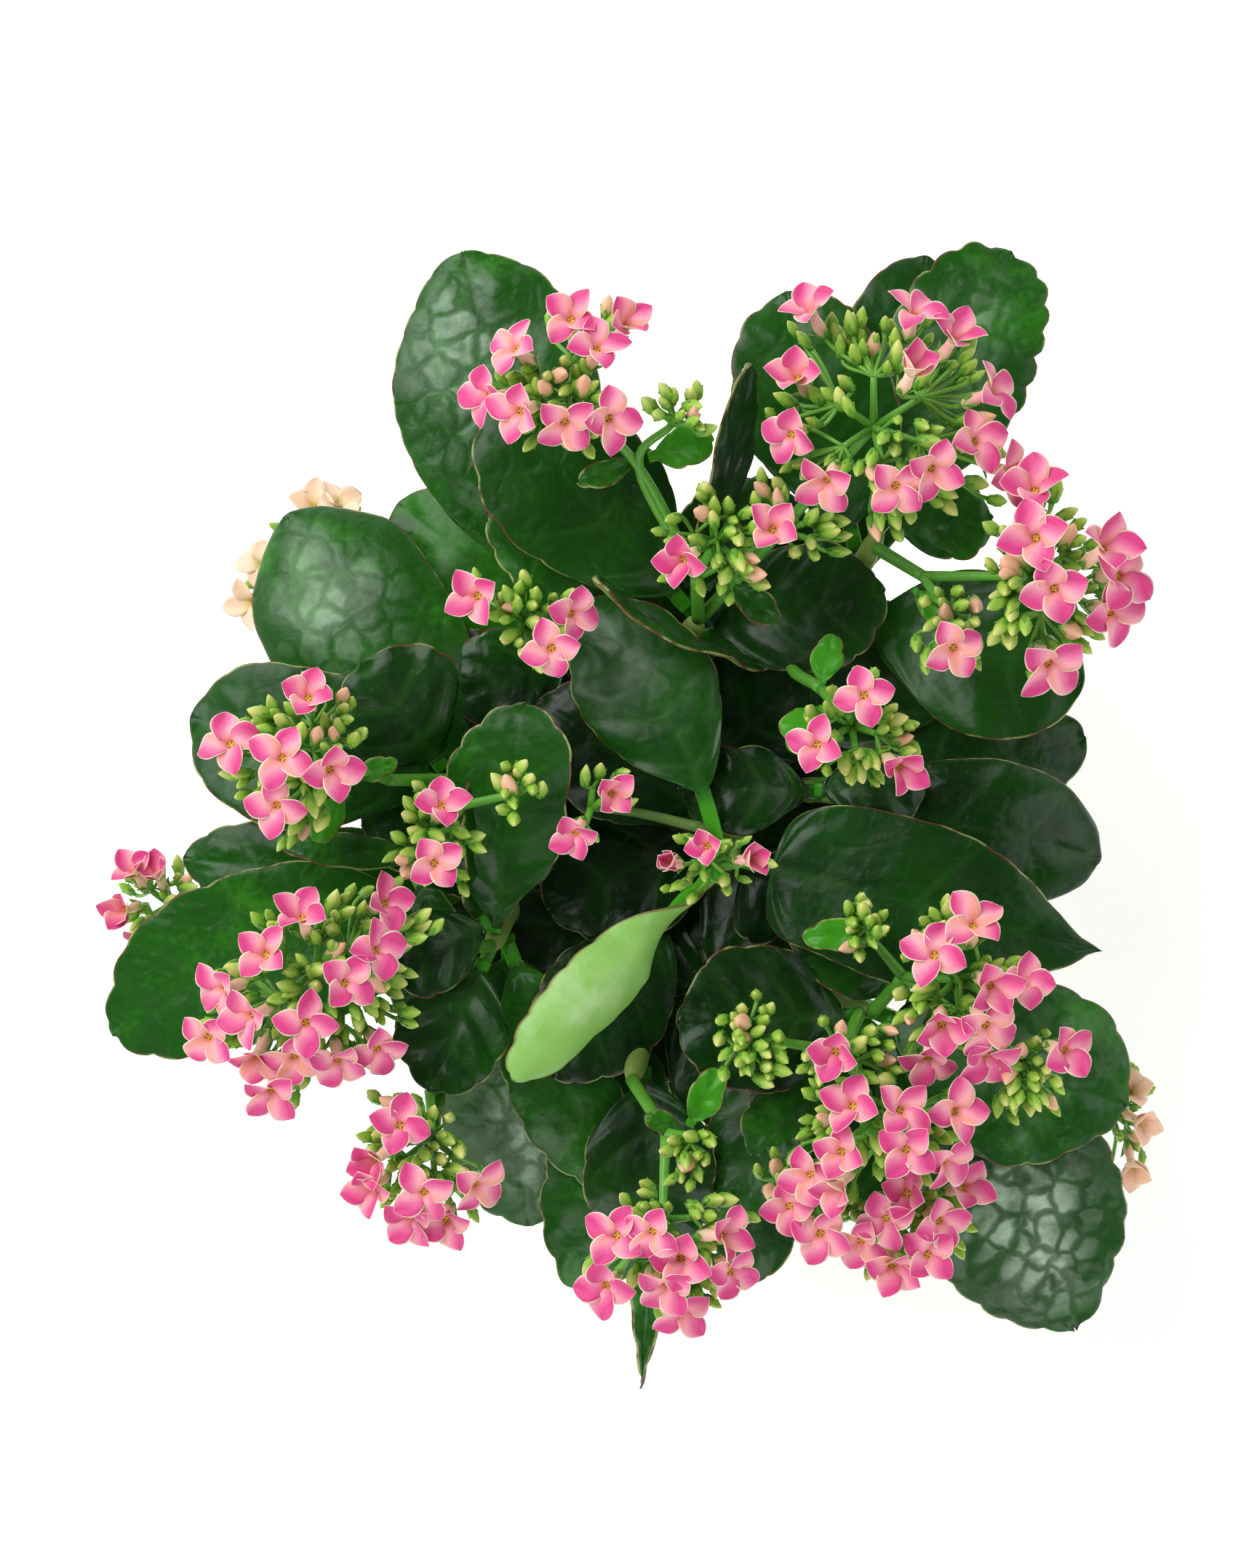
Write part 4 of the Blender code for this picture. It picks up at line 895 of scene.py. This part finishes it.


# Flower trusses: the shoot that bears each, how far up it, its stalk's way points, and its heads. A head has
# a hub, the places of its open flowers in plan, and groups of buds as (x, y, how many), in millimetres. pale
# heads show peach petals; half-open heads are also painted a deeper pink, as painted shade.

floret = {
    "pedicel": 27, "stalk": 1.9, "fork": 1.15, "thread": 0.65, "petalLength": 10.4, "petalWidth": 8.0,
    "petalThickness": 0.3, "tube": 9.0, "tubeRadius": 2.0, "sepal": 5.5, "budLength": 9.6, "budRadius": 2.15,
    "fillers": 4,
}
trusses = {
    "north": dict(shoot="north", at=1.0, stalk=[(17, 72, 187)], heads=[
        dict(hub=(-20, 122, 212), via=(0, 103, 202),
             open=[(-19, 142), (-4, 141), (-34, 133), (-12, 133), (-42, 121), (-33, 116), (-21, 113),
                   (-9, 114)],
             buds=[(-33, 126, 4), (-22, 125, 4), (-14, 123, 2), (-33, 110, 2), (-16, 107, 2), (-9, 150, 1)]),
        dict(hub=(10, 115, 210), via=(0, 103, 202), open=[], reach=22,
             buds=[(5, 119, 3), (13, 121, 3), (14, 114, 3), (21, 113, 1)]),
        dict(hub=(22, 81, 200), open=[(13, 75)],
             buds=[(20, 91, 5), (30, 85, 4), (26, 75, 4), (8, 84, 2), (22, 65, 3), (34, 71, 3)]),
        dict(hub=(41, 84, 202), reach=22, open=[(38, 83)],
             buds=[(47, 78, 2), (37, 97, 4), (53, 88, 3), (59, 82, 3)]),
    ]),
    "north_east": dict(shoot="north", at=0.95, stalk=[(44, 88, 188)], heads=[
        dict(hub=(68, 114, 206), open=[(50, 146), (46, 127), (44, 111), (54, 98), (77, 127), (79, 145),
                                       (90, 138),
                                       (100, 123), (96, 109), (83, 101), (73, 96), (105, 101)],
             buds=[(63, 141, 6), (72, 140, 3), (56, 122, 3), (38, 119, 1), (45, 102, 2), (65, 98, 3),
                   (71, 109, 3),
                   (84, 112, 2), (95, 131, 3), (90, 93, 3), (73, 85, 5), (100, 116, 2), (103, 113, 1)]),
    ]),
    "east": dict(shoot="north_east", at=0.95, stalk=[(84, 72, 188)], heads=[
        dict(hub=(114, 71, 208), size=1.12, open=[(113, 94), (112, 80), (117, 66), (117, 46), (131, 77),
                                                  (136, 70), (134, 60)],
             buds=[(102, 83, 2), (103, 74, 3), (104, 64, 4), (105, 54, 4), (126, 84, 3), (128, 53, 4),
                   (121, 98, 1)]),
        dict(hub=(90, 60, 200), open=[(90, 50)], reach=20,
             buds=[(86, 62, 3), (92, 61, 3), (86, 55, 2), (95, 56, 3), (96, 48, 2)]),
    ]),
    "middle_right": dict(shoot="north_east", at=0.75, stalk=[(46, 48, 166), (54, 39, 184)], heads=[
        dict(hub=(62, 28, 200), open=[(64, 36), (51, 22), (74, 16)],
             buds=[(53, 33, 3), (74, 29, 4), (76, 24, 2), (63, 16, 4), (58, 14, 2)]),
    ]),
    "north_west": dict(shoot="north_west", at=1.0, stalk=[(-30, 60, 176)], heads=[
        dict(hub=(-33, 58, 190), open=[(-46, 65), (-25, 50), (-20, 60)],
             buds=[(-35, 67, 4), (-32, 61, 3), (-40, 57, 3), (-35, 53, 2)]),
    ]),
    "west": dict(shoot="west", at=1.0, stalk=[(-74, 12, 186)], heads=[
        dict(hub=(-94, 20, 202), open=[(-94, 35), (-117, 22), (-101, 18), (-88, 15), (-103, 5)],
             buds=[(-106, 31, 4), (-86, 37, 2), (-84, 28, 4), (-111, 27, 3), (-93, 25, 2), (-117, 13, 2),
                   (-112, 7, 2),
                   (-102, -3, 4), (-94, 2, 3)]),
    ]),
    "west_inner": dict(shoot="west", at=0.95, stalk=[(-63, 2, 184)], heads=[
        dict(hub=(-60, -4, 192), reach=22, open=[(-57, 4), (-59, -12)],
             buds=[(-64, 6, 3), (-67, -3, 3), (-55, -7, 2), (-47, -5, 2), (-70, -12, 3), (-51, -17, 2)]),
        dict(hub=(-36, 8, 196), open=[], reach=20,
             buds=[(-39, 11, 3), (-33, 12, 3), (-37, 4, 3), (-29, 11, 1)]),
    ]),
    "south_west": dict(shoot="south_west", at=1.0, stalk=[(-74, -38, 186)], heads=[
        dict(hub=(-94, -44, 200), open=[(-96, -28), (-106, -38), (-74, -24), (-76, -37), (-84, -46),
                                        (-119, -48),
                                        (-124, -62), (-110, -55), (-95, -57), (-99, -67), (-110, -67),
                                        (-87, -68),
                                        (-76, -65), (-106, -77)],
             buds=[(-108, -27, 2), (-85, -23, 4), (-90, -33, 3), (-86, -37, 2), (-96, -43, 4),
                   (-115, -41, 2), (-63, -30, 4),
                   (-70, -47, 4), (-78, -56, 4), (-66, -55, 2), (-102, -50, 3)]),
    ]),
    "far_west": dict(shoot="south_west", at=0.3, stalk=[(-95, -26, 114)], heads=[
        dict(hub=(-146, -27, 120), via=(-130, -27, 111.5), reach=20, size=0.9, halfOpenShaded=1,
             open=[(-155, -17), (-148, -18), (-158, -28), (-152, -36)],
             buds=[(-140, -19, 2), (-145, -26, 2), (-157, -38, 1)]),
    ]),
    "behind_round_leaf": dict(shoot="west", at=0.15, stalk=[(-78, 52, 116)], heads=[
        dict(hub=(-100, 80, 118), via=(-93, 71, 113), reach=18, size=0.9, pale=1,
             open=[(-101, 97), (-94, 97), (-117, 79), (-120, 68)],
             buds=[(-112, 90, 2), (-106, 88, 2)]),
    ]),
    "middle": dict(shoot="middle", at=1.0, skin="stem", stalk=[(18, -2, 190)], heads=[
        dict(hub=(21, -12, 196), reach=20, size=0.8, halfOpenShaded=1, open=[(10, -12), (20, -7), (31, -11)],
             buds=[(14, -19, 2), (22, -18, 2), (14, -6, 2), (39, -13, 1)]),
        dict(hub=(-14, 4, 190), via=(1, 2, 180), reach=18, size=0.85, halfOpenShaded=1, open=[(-8, 8), (-18, -3)],
             buds=[(-15, 15, 1)]),
    ]),
    "front_left": dict(shoot="south_west", at=0.9, stalk=[(-55, -62, 174), (-62, -80, 180)], heads=[
        dict(hub=(-61, -94, 182), open=[(-69, -88), (-76, -98), (-77, -106), (-62, -107), (-48, -105),
                                        (-56, -116), (-66, -115)],
             buds=[(-76, -82, 2), (-66, -84, 2), (-58, -88, 3), (-78, -92, 2), (-62, -98, 3),
                   (-54, -98, 3)]),
    ]),
    "front": dict(shoot="south", at=1.0, stalk=[(8, -92, 188)], heads=[
        dict(hub=(7, -116, 200), open=[(-6, -118), (4, -116), (23, -118), (12, -124), (8, -131), (26, -129),
                                       (-9, -133), (12, -140)],
             buds=[(-1, -108, 3), (2, -111, 2), (19, -113, 2), (26, -110, 2), (34, -116, 1), (1, -134, 2),
                   (20, -138, 4)]),
        dict(hub=(15, -92, 200), open=[], reach=20,
             buds=[(17, -91, 2), (10, -96, 3), (11, -103, 3), (17, -99, 3)]),
    ]),
    "east_front": dict(shoot="south_east", at=1.0, stalk=[(78, -46, 188)], heads=[
        dict(hub=(92, -46, 204), size=1.05, open=[(95, -30), (84, -38), (99, -46), (109, -46), (86, -57),
                                                  (98, -57), (83, -67), (99, -66)],
             buds=[(87, -26, 3), (82, -33, 3), (92, -23, 2), (106, -39, 2), (77, -51, 3), (77, -58, 2),
                   (94, -63, 2)]),
        dict(hub=(110, -68, 204), reach=20, open=[(121, -65)],
             buds=[(104, -74, 3), (111, -69, 4), (118, -75, 2), (112, -80, 4), (107, -84, 3),
                   (118, -82, 2)]),
        dict(hub=(66, -32, 200), reach=20, open=[],
             buds=[(63, -26, 3), (69, -27, 2), (66, -32, 3), (62, -36, 3)]),
    ]),
    "south_east": dict(shoot="south_east", at=0.95, stalk=[(60, -68, 188)], heads=[
        dict(hub=(32, -63, 200), reach=22, open=[],
             buds=[(33, -55, 4), (26, -60, 4), (34, -64, 5), (40, -69, 3), (27, -69, 4), (35, -73, 3)]),
        dict(hub=(56, -66, 204), reach=24, open=[(56, -65)],
             buds=[(56, -58, 2), (66, -64, 3), (71, -69, 3), (73, -61, 1), (49, -72, 3), (67, -75, 2)]),
        dict(hub=(70, -86, 200), open=[(61, -81), (74, -82), (76, -93), (90, -83), (87, -97), (58, -94),
                                       (50, -102), (58, -104)],
             buds=[(51, -79, 3), (50, -88, 4), (68, -76, 2), (82, -90, 3), (68, -98, 3)]),
    ]),
    "front_right": dict(shoot="south_east", at=0.85, stalk=[(68, -92, 176)], heads=[
        dict(hub=(48, -110, 178), reach=24, open=[(44, -112), (53, -120)],
             buds=[(39, -101, 3), (47, -101, 2), (42, -107, 2), (58, -112, 4)]),
        dict(hub=(78, -113, 178), open=[(78, -108), (72, -115), (94, -107), (87, -116), (65, -122),
                                        (74, -129), (84, -126)],
             buds=[(66, -131, 2), (95, -118, 3), (93, -125, 2), (84, -110, 2), (88, -123, 1)]),
    ]),
    "far_east": dict(shoot="south_east", at=0.3, stalk=[(112, -76, 124)], heads=[
        dict(hub=(146, -90, 130), via=(134, -86, 122.5), pale=1, size=0.85,
             open=[(149, -83), (151, -91), (150, -104)], buds=[(150, -97, 2), (152, -77, 1)]),
    ]),
}


petalOutline = ((0, 0.1, 0.25, 0.4, 0.52, 0.64, 0.76, 0.87, 0.95, 1),
                (0.2, 0.4, 0.76, 0.95, 1, 0.95, 0.78, 0.5, 0.24, 0.02))


def addPetal(sheaf, mouth, outward, axis, length, width, opening, lean, tone, finish="petal"):
    # one petal: it rises from the mouth of the tube, bends outwards and ends in a small point
    rows, columns = 12, 7
    s = np.linspace(0, 1, rows)
    v = np.linspace(-1, 1, columns)
    angle = math.radians(18) + (opening - math.radians(18)) * smoothStep(0.0, 0.45,
                                                                         s) + math.radians(14) * s**2
    step = length / (rows - 1)
    far = np.concatenate([[0], np.cumsum(np.sin(angle[:-1]) * step)])
    high = np.concatenate([[0], np.cumsum(np.cos(angle[:-1]) * step)])
    sideways = np.cross(axis, outward)
    half = width / 2 * np.interp(s, petalOutline[0], petalOutline[1])
    half[-1] = 0.08 * mm
    line = mouth + np.outer(far, outward) + np.outer(high, axis)
    normal = np.outer(np.sin(angle), axis) - np.outer(np.cos(angle), outward)
    grid = line[:, None] + (half[:, None] * v)[..., None] * sideways
    bow = 0.34 * half[:, None] * np.abs(v) ** 1.5 + lean * half[:, None] * v * s[:, None]
    bow = bow + 0.05 * length * np.sin(s * 9 + tone * 20)[:, None] * v**3 * 0.4
    grid = grid + bow[..., None] * normal[:, None]
    thin = floret["petalThickness"] * mm * (1 - 0.6 * np.abs(v)) * np.ones((rows, 1))
    back = grid - thin[..., None] * normal[:, None]
    rim = np.maximum(np.abs(v) * np.ones((rows, 1)), smoothStep(0.9, 1.0, s)[:, None])
    addShell(sheaf, grid, back, finish, "petalBack",
             {"tone": tone, "along": np.repeat(s[:, None], columns, 1),
              "across": np.repeat(v[None], rows, 0), "rim": rim})


def addSepals(sheaf, base, axis, radius, length, spread, spin, tone):
    rows, columns = 6, 3
    for k in range(4):
        outward, sideways, _ = basisFor(axis, spin + k * math.pi / 2)
        s = np.linspace(0, 1, rows)
        half = length * 0.2 * np.sin(math.pi * (0.25 + 0.75 * s) ** 0.9) ** 0.8
        half[-1] = 0.05 * mm
        away = radius + spread * length * s**1.4
        line = base + np.outer(away, outward) + np.outer(s * length * math.sqrt(max(0.05, 1 - spread**2)),
                                                         axis)
        v = np.linspace(-1, 1, columns)
        grid = line[:, None] + (half[:, None] * v)[..., None] * sideways
        grid = grid - (0.15 * mm * v**2)[None, :, None] * outward
        back = grid + 0.28 * mm * outward
        addShell(sheaf, back, grid, "stalk", "stalk", {"tone": tone})


def bend(start, end, axis, steps=7):
    # a thread that leaves its fork and turns to point along the axis where it ends
    length = np.linalg.norm(end - start)
    first = start + (end - start) * 0.4 + up * length * 0.06
    second = end - axis * length * 0.35
    t = np.linspace(0, 1, steps)[:, None]
    return (1 - t) ** 3 * start + 3 * t * (1 - t) ** 2 * first + 3 * t * t * (1 - t) * second + t**3 * end


def addFlower(sheaf, fork, place, axis, size, pale, halfOpenShaded, dice):
    opening = math.radians(dice.choice((40, 54, 66, 74, 80, 85, 88, 92)) - 36 * halfOpenShaded)
    # half-open flowers get a deeper pink: painted shade
    tone = dice.uniform(-0.2, 0.5) * (1 - pale) - 0.3 * pale + 0.3 * halfOpenShaded
    length = floret["petalLength"] * mm * size * dice.uniform(0.92, 1.08)
    width = floret["petalWidth"] * mm * size * dice.uniform(0.95, 1.08)
    tube = floret["tube"] * mm * size
    foot = place - axis * tube
    share = np.linspace(0, 1, 9)
    profile = np.interp(share, (0, 0.12, 0.4, 0.8, 1),
                        (0.5, 0.85, 1.0, 0.72, 0.8)) * floret["tubeRadius"] * mm * size
    addTube(sheaf, foot + np.outer(share * tube, axis), profile, 12, "petalBack", 0.06,
            tone=0.1 + 0.3 * dice.random(), along=share * 0.6)
    spin = dice.random() * math.pi
    addSepals(sheaf, foot + axis * 0.2 * mm, axis, 1.1 * mm * size, floret["sepal"] * mm * size,
              dice.uniform(0.25, 0.6), spin + 0.7, 0.2)
    lean = dice.choice((-1, 1)) * dice.uniform(0.15, 0.42)
    for k in range(4):
        outward, _, _ = basisFor(axis, spin + k * math.pi / 2 + dice.uniform(-0.08, 0.08))
        here = opening + math.radians(dice.uniform(-20, 14))
        addPetal(sheaf, place + outward * 0.9 * mm * size, outward, axis, length * dice.uniform(0.92, 1.06),
                 width, here, lean,
                 tone + dice.uniform(-0.12, 0.12), "petalBack" if pale else "petal")
    ring, other, _ = basisFor(axis, spin)
    for k in range(4):
        a = k * math.pi / 2 + 0.4
        seat = place + (ring * math.cos(a) + other * math.sin(a)) * 0.75 * mm
        addTube(sheaf, [seat - axis * 0.6 * mm, seat, seat + axis * 0.45 * mm, seat + axis * 0.75 * mm],
                np.array((0.25, 0.42, 0.42, 0.15)) * mm, 6, "anther")
    addTube(sheaf, [place - axis * 1.2 * mm, place + axis * 0.12 * mm], np.array((0.95, 0.95)) * mm * size,
            10, "anther")
    addTube(sheaf, bend(fork, foot + axis * 0.3 * mm, axis),
            np.linspace(0.9, 1.15, 7) * floret["thread"] * mm, 8, "stalk", tone=0.4)


def addBud(sheaf, fork, tip, axis, size, ripe, dice):
    length = floret["budLength"] * mm * size
    radius = floret["budRadius"] * mm * size * dice.uniform(0.92, 1.1)
    foot = tip - axis * length
    share = np.linspace(0, 1, 10)
    profile = radius * np.interp(share, (0, 0.1, 0.35, 0.6, 0.85, 1.0), (0.35, 0.72, 1.0, 0.92, 0.5, 0.06))
    addTube(sheaf, foot + np.outer(share * length, axis), profile, 12, "bud", 0.08, tone=ripe, along=share)
    addSepals(sheaf, foot + axis * 0.1 * mm, axis, radius * 0.62, length * 0.55, 0.18, dice.random() * 3,
              0.3)
    addTube(sheaf, bend(fork, foot + axis * 0.3 * mm, axis, 6),
            np.linspace(0.85, 1.1, 6) * floret["thread"] * mm, 7, "stalk", tone=0.4)


def domeHeight(across, reach):
    return math.sqrt(max(reach**2 - across**2, (0.3 * reach) ** 2))


def makeTruss(name, plan):
    sheaf = newSheaf()
    dice = random.Random(sum(ord(c) * (i + 1) for i, c in enumerate(name)))
    path = shootPaths[plan["shoot"]]
    route = curve([alongPath(path, plan["at"])] + [point(p) for p in plan["stalk"]], 6)
    addTube(sheaf, route, floret["stalk"] * mm * np.linspace(1.1, 0.95, len(route)), 12,
            plan.get("skin", "stalk"), tone=0.1)
    fork = route[-1]
    for head in plan["heads"]:
        hub = point(head["hub"])
        stops = [fork] + ([point(head["via"])] if "via" in head else []) + [hub]
        branch = curve(stops, 7)
        addTube(sheaf, branch, np.linspace(0.9, 0.6, len(branch)) * floret["stalk"] * mm, 10,
                plan.get("skin", "stalk"), tone=0.15)
        reach = head.get("reach", floret["pedicel"]) * mm
        size = head.get("size", 1.0)
        spots = []
        for x, y in head["open"]:
            spots.append(("flower", x * mm, y * mm))
            for i in range(floret["fillers"]):
                angle = dice.random() * 2 * math.pi
                away = dice.uniform(4.5, 8.5)
                spots.append(("filler", (x + away * math.cos(angle)) * mm,
                              (y + away * math.sin(angle)) * mm))
        for x, y, count in head["buds"]:
            for i in range(count + count // 2):
                angle = i * 2.4 + dice.random()
                away = 0.0 if count == 1 else (1.3 + 1.25 * math.sqrt(i)) * mm * 1.25
                spots.append(("bud", x * mm + away * math.cos(angle), y * mm + away * math.sin(angle)))
        # forks of the head: one for each sixth of the way round, and one in the middle
        sectors = {}
        for spot in spots:
            flat = np.array((spot[1] - hub[0], spot[2] - hub[1]))
            distance = np.linalg.norm(flat)
            key = -1 if distance < 7 * mm else int((math.atan2(flat[1],
                                                               flat[0]) + math.pi) / (math.pi / 3.0))
            sectors.setdefault(key, []).append((spot, flat, distance))
        for key, members in sectors.items():
            mean = np.mean([m[1] for m in members], axis=0)
            small = hub + np.array((mean[0] * 0.5, mean[1] * 0.5, 0.36 * reach))
            addTube(sheaf, curve([hub, (hub + small) / 2 + up * 1.0 * mm, small], 4),
                    floret["fork"] * mm * np.linspace(1.1, 0.85, 9), 8, "stalk", tone=0.25)
            for (kind, x, y), flat, distance in members:
                height = domeHeight(distance, reach)
                outward = np.array((flat[0], flat[1], 0.0)) / max(distance, 1e-6)
                tilt = min(1.0, distance / reach)
                wander = np.array((dice.uniform(-0.28, 0.28), dice.uniform(-0.28, 0.28), 0))
                axis = unit(up + outward * tilt * dice.uniform(0.55, 1.2) + wander)
                if kind == "flower":
                    place = np.array((x, y, hub[2] + height + dice.uniform(-1.0, 1.5) * mm))
                    addFlower(sheaf, small, place, axis, size, head.get("pale", 0), head.get("halfOpenShaded", 0), dice)
                else:
                    ripe = dice.choice((0.0, 0.05, 0.1, 0.15, 0.25, 0.35, 0.5, 0.85))
                    lean = tilt * dice.uniform(0.7, 1.5) + 0.15
                    wander = np.array((dice.uniform(-0.45, 0.45), dice.uniform(-0.45, 0.45), 0))
                    axis = unit(up + outward * lean + wander)
                    tip = np.array((x, y, hub[2] + height * 0.92 + dice.uniform(-4.0, 1.0) * mm))
                    tip = tip + outward * 1.5 * mm
                    if kind == "filler":
                        ripe = ripe * 0.4
                        tip = tip - up * dice.uniform(3.0, 7.0) * mm
                    addBud(sheaf, small, tip, axis, size * (0.75 + 0.35 * ripe) * dice.uniform(0.8, 1.15),
                           ripe, dice)
    makePiece("truss." + name, sheaf, ["truss_" + name])


for trussName, trussPlan in trusses.items():
    makeTruss(trussName, trussPlan)
print(len(trusses), "trusses made")


# Camera, lights and floor

studio = {"cameraHeight": 1.26, "cameraX": -0.0034, "cameraY": 0.0108, "frameHeight": 0.4312,
          "horizon": 1.05,
          "ceiling": 0.1, "floorHalf": 1.7, "aim": (0, 0, 0.15), "lights": (  # name, place, width and power
              ("windowLight", (-0.72, 0.62, 1.25), 1.1, 22.0),
              ("sideLight", (1.35, 0.1, 1.1), 1.2, 8.0),
              ("frontLight", (-0.1, -1.2, 1.1), 0.9, 9.0),
          )}


def makeStudio():
    camera = bpy.data.cameras.new("camera")
    camera.sensor_width = 36
    camera.lens = 36 / studio["frameHeight"]
    camera.clip_start = 0.05
    cameraObject = bpy.data.objects.new("camera", camera)
    cameraObject.location = (studio["cameraX"], studio["cameraY"], studio["cameraHeight"])
    bpy.context.collection.objects.link(cameraObject)
    bpy.context.scene.camera = cameraObject

    for name, place, size, power in studio["lights"]:
        light = bpy.data.lights.new(name, "AREA")
        light.size = size
        light.energy = power
        lamp = bpy.data.objects.new(name, light)
        lamp.location = place
        lamp.rotation_euler = (Vector(studio["aim"]) - Vector(place)).to_track_quat("-Z", "Y").to_euler()
        bpy.context.collection.objects.link(lamp)

    world = bpy.data.worlds.new("studioWorld")
    bpy.context.scene.world = world
    world.use_nodes = True
    # a ring of soft light round the horizon under a darker ceiling: level leaves stay deep, tilted ones shine
    tree = world.node_tree
    upward = addNode(tree, "SeparateXYZ", {0: addNode(tree, "TexCoord", output="Generated")}, 2)
    ring = signal(tree, upward, 0.15, 0.62, studio["horizon"], studio["ceiling"])
    toWindow = signal(tree, upward.node.outputs[0], -1.0, 1.0, 1.2, 0.85)
    level = addNode(tree, "Math", {0: ring, 1: toWindow}, operation="MULTIPLY")
    tree.nodes["Background"].inputs[0].default_value = (1.0, 1.0, 1.0, 1.0)
    tree.links.new(level, tree.nodes["Background"].inputs[1])
    bpy.context.scene.view_settings.view_transform = "Standard"

    mesh = bpy.data.meshes.new("floor")
    wide = studio["floorHalf"]
    mesh.from_pydata([(-wide, -wide, 0), (wide, -wide, 0), (wide, wide, 0), (-wide, wide, 0)], [],
                     [(0, 1, 2, 3)])
    floor = bpy.data.objects.new("floor", mesh)
    bpy.context.collection.objects.link(floor)
    # white acrylic lit softly from below, so that shadows stay faint
    mesh.materials.append(cover(*newFinish("opalAcrylic", Roughness=0.9, IOR=1.49, Emission_Strength=0.3,
                                           Emission_Color=(1.0, 1.0, 1.0, 1.0)), "#FAFAFA",
                                           [("#FFFFFF", 3.0)]))


makeStudio()
print("studio made")
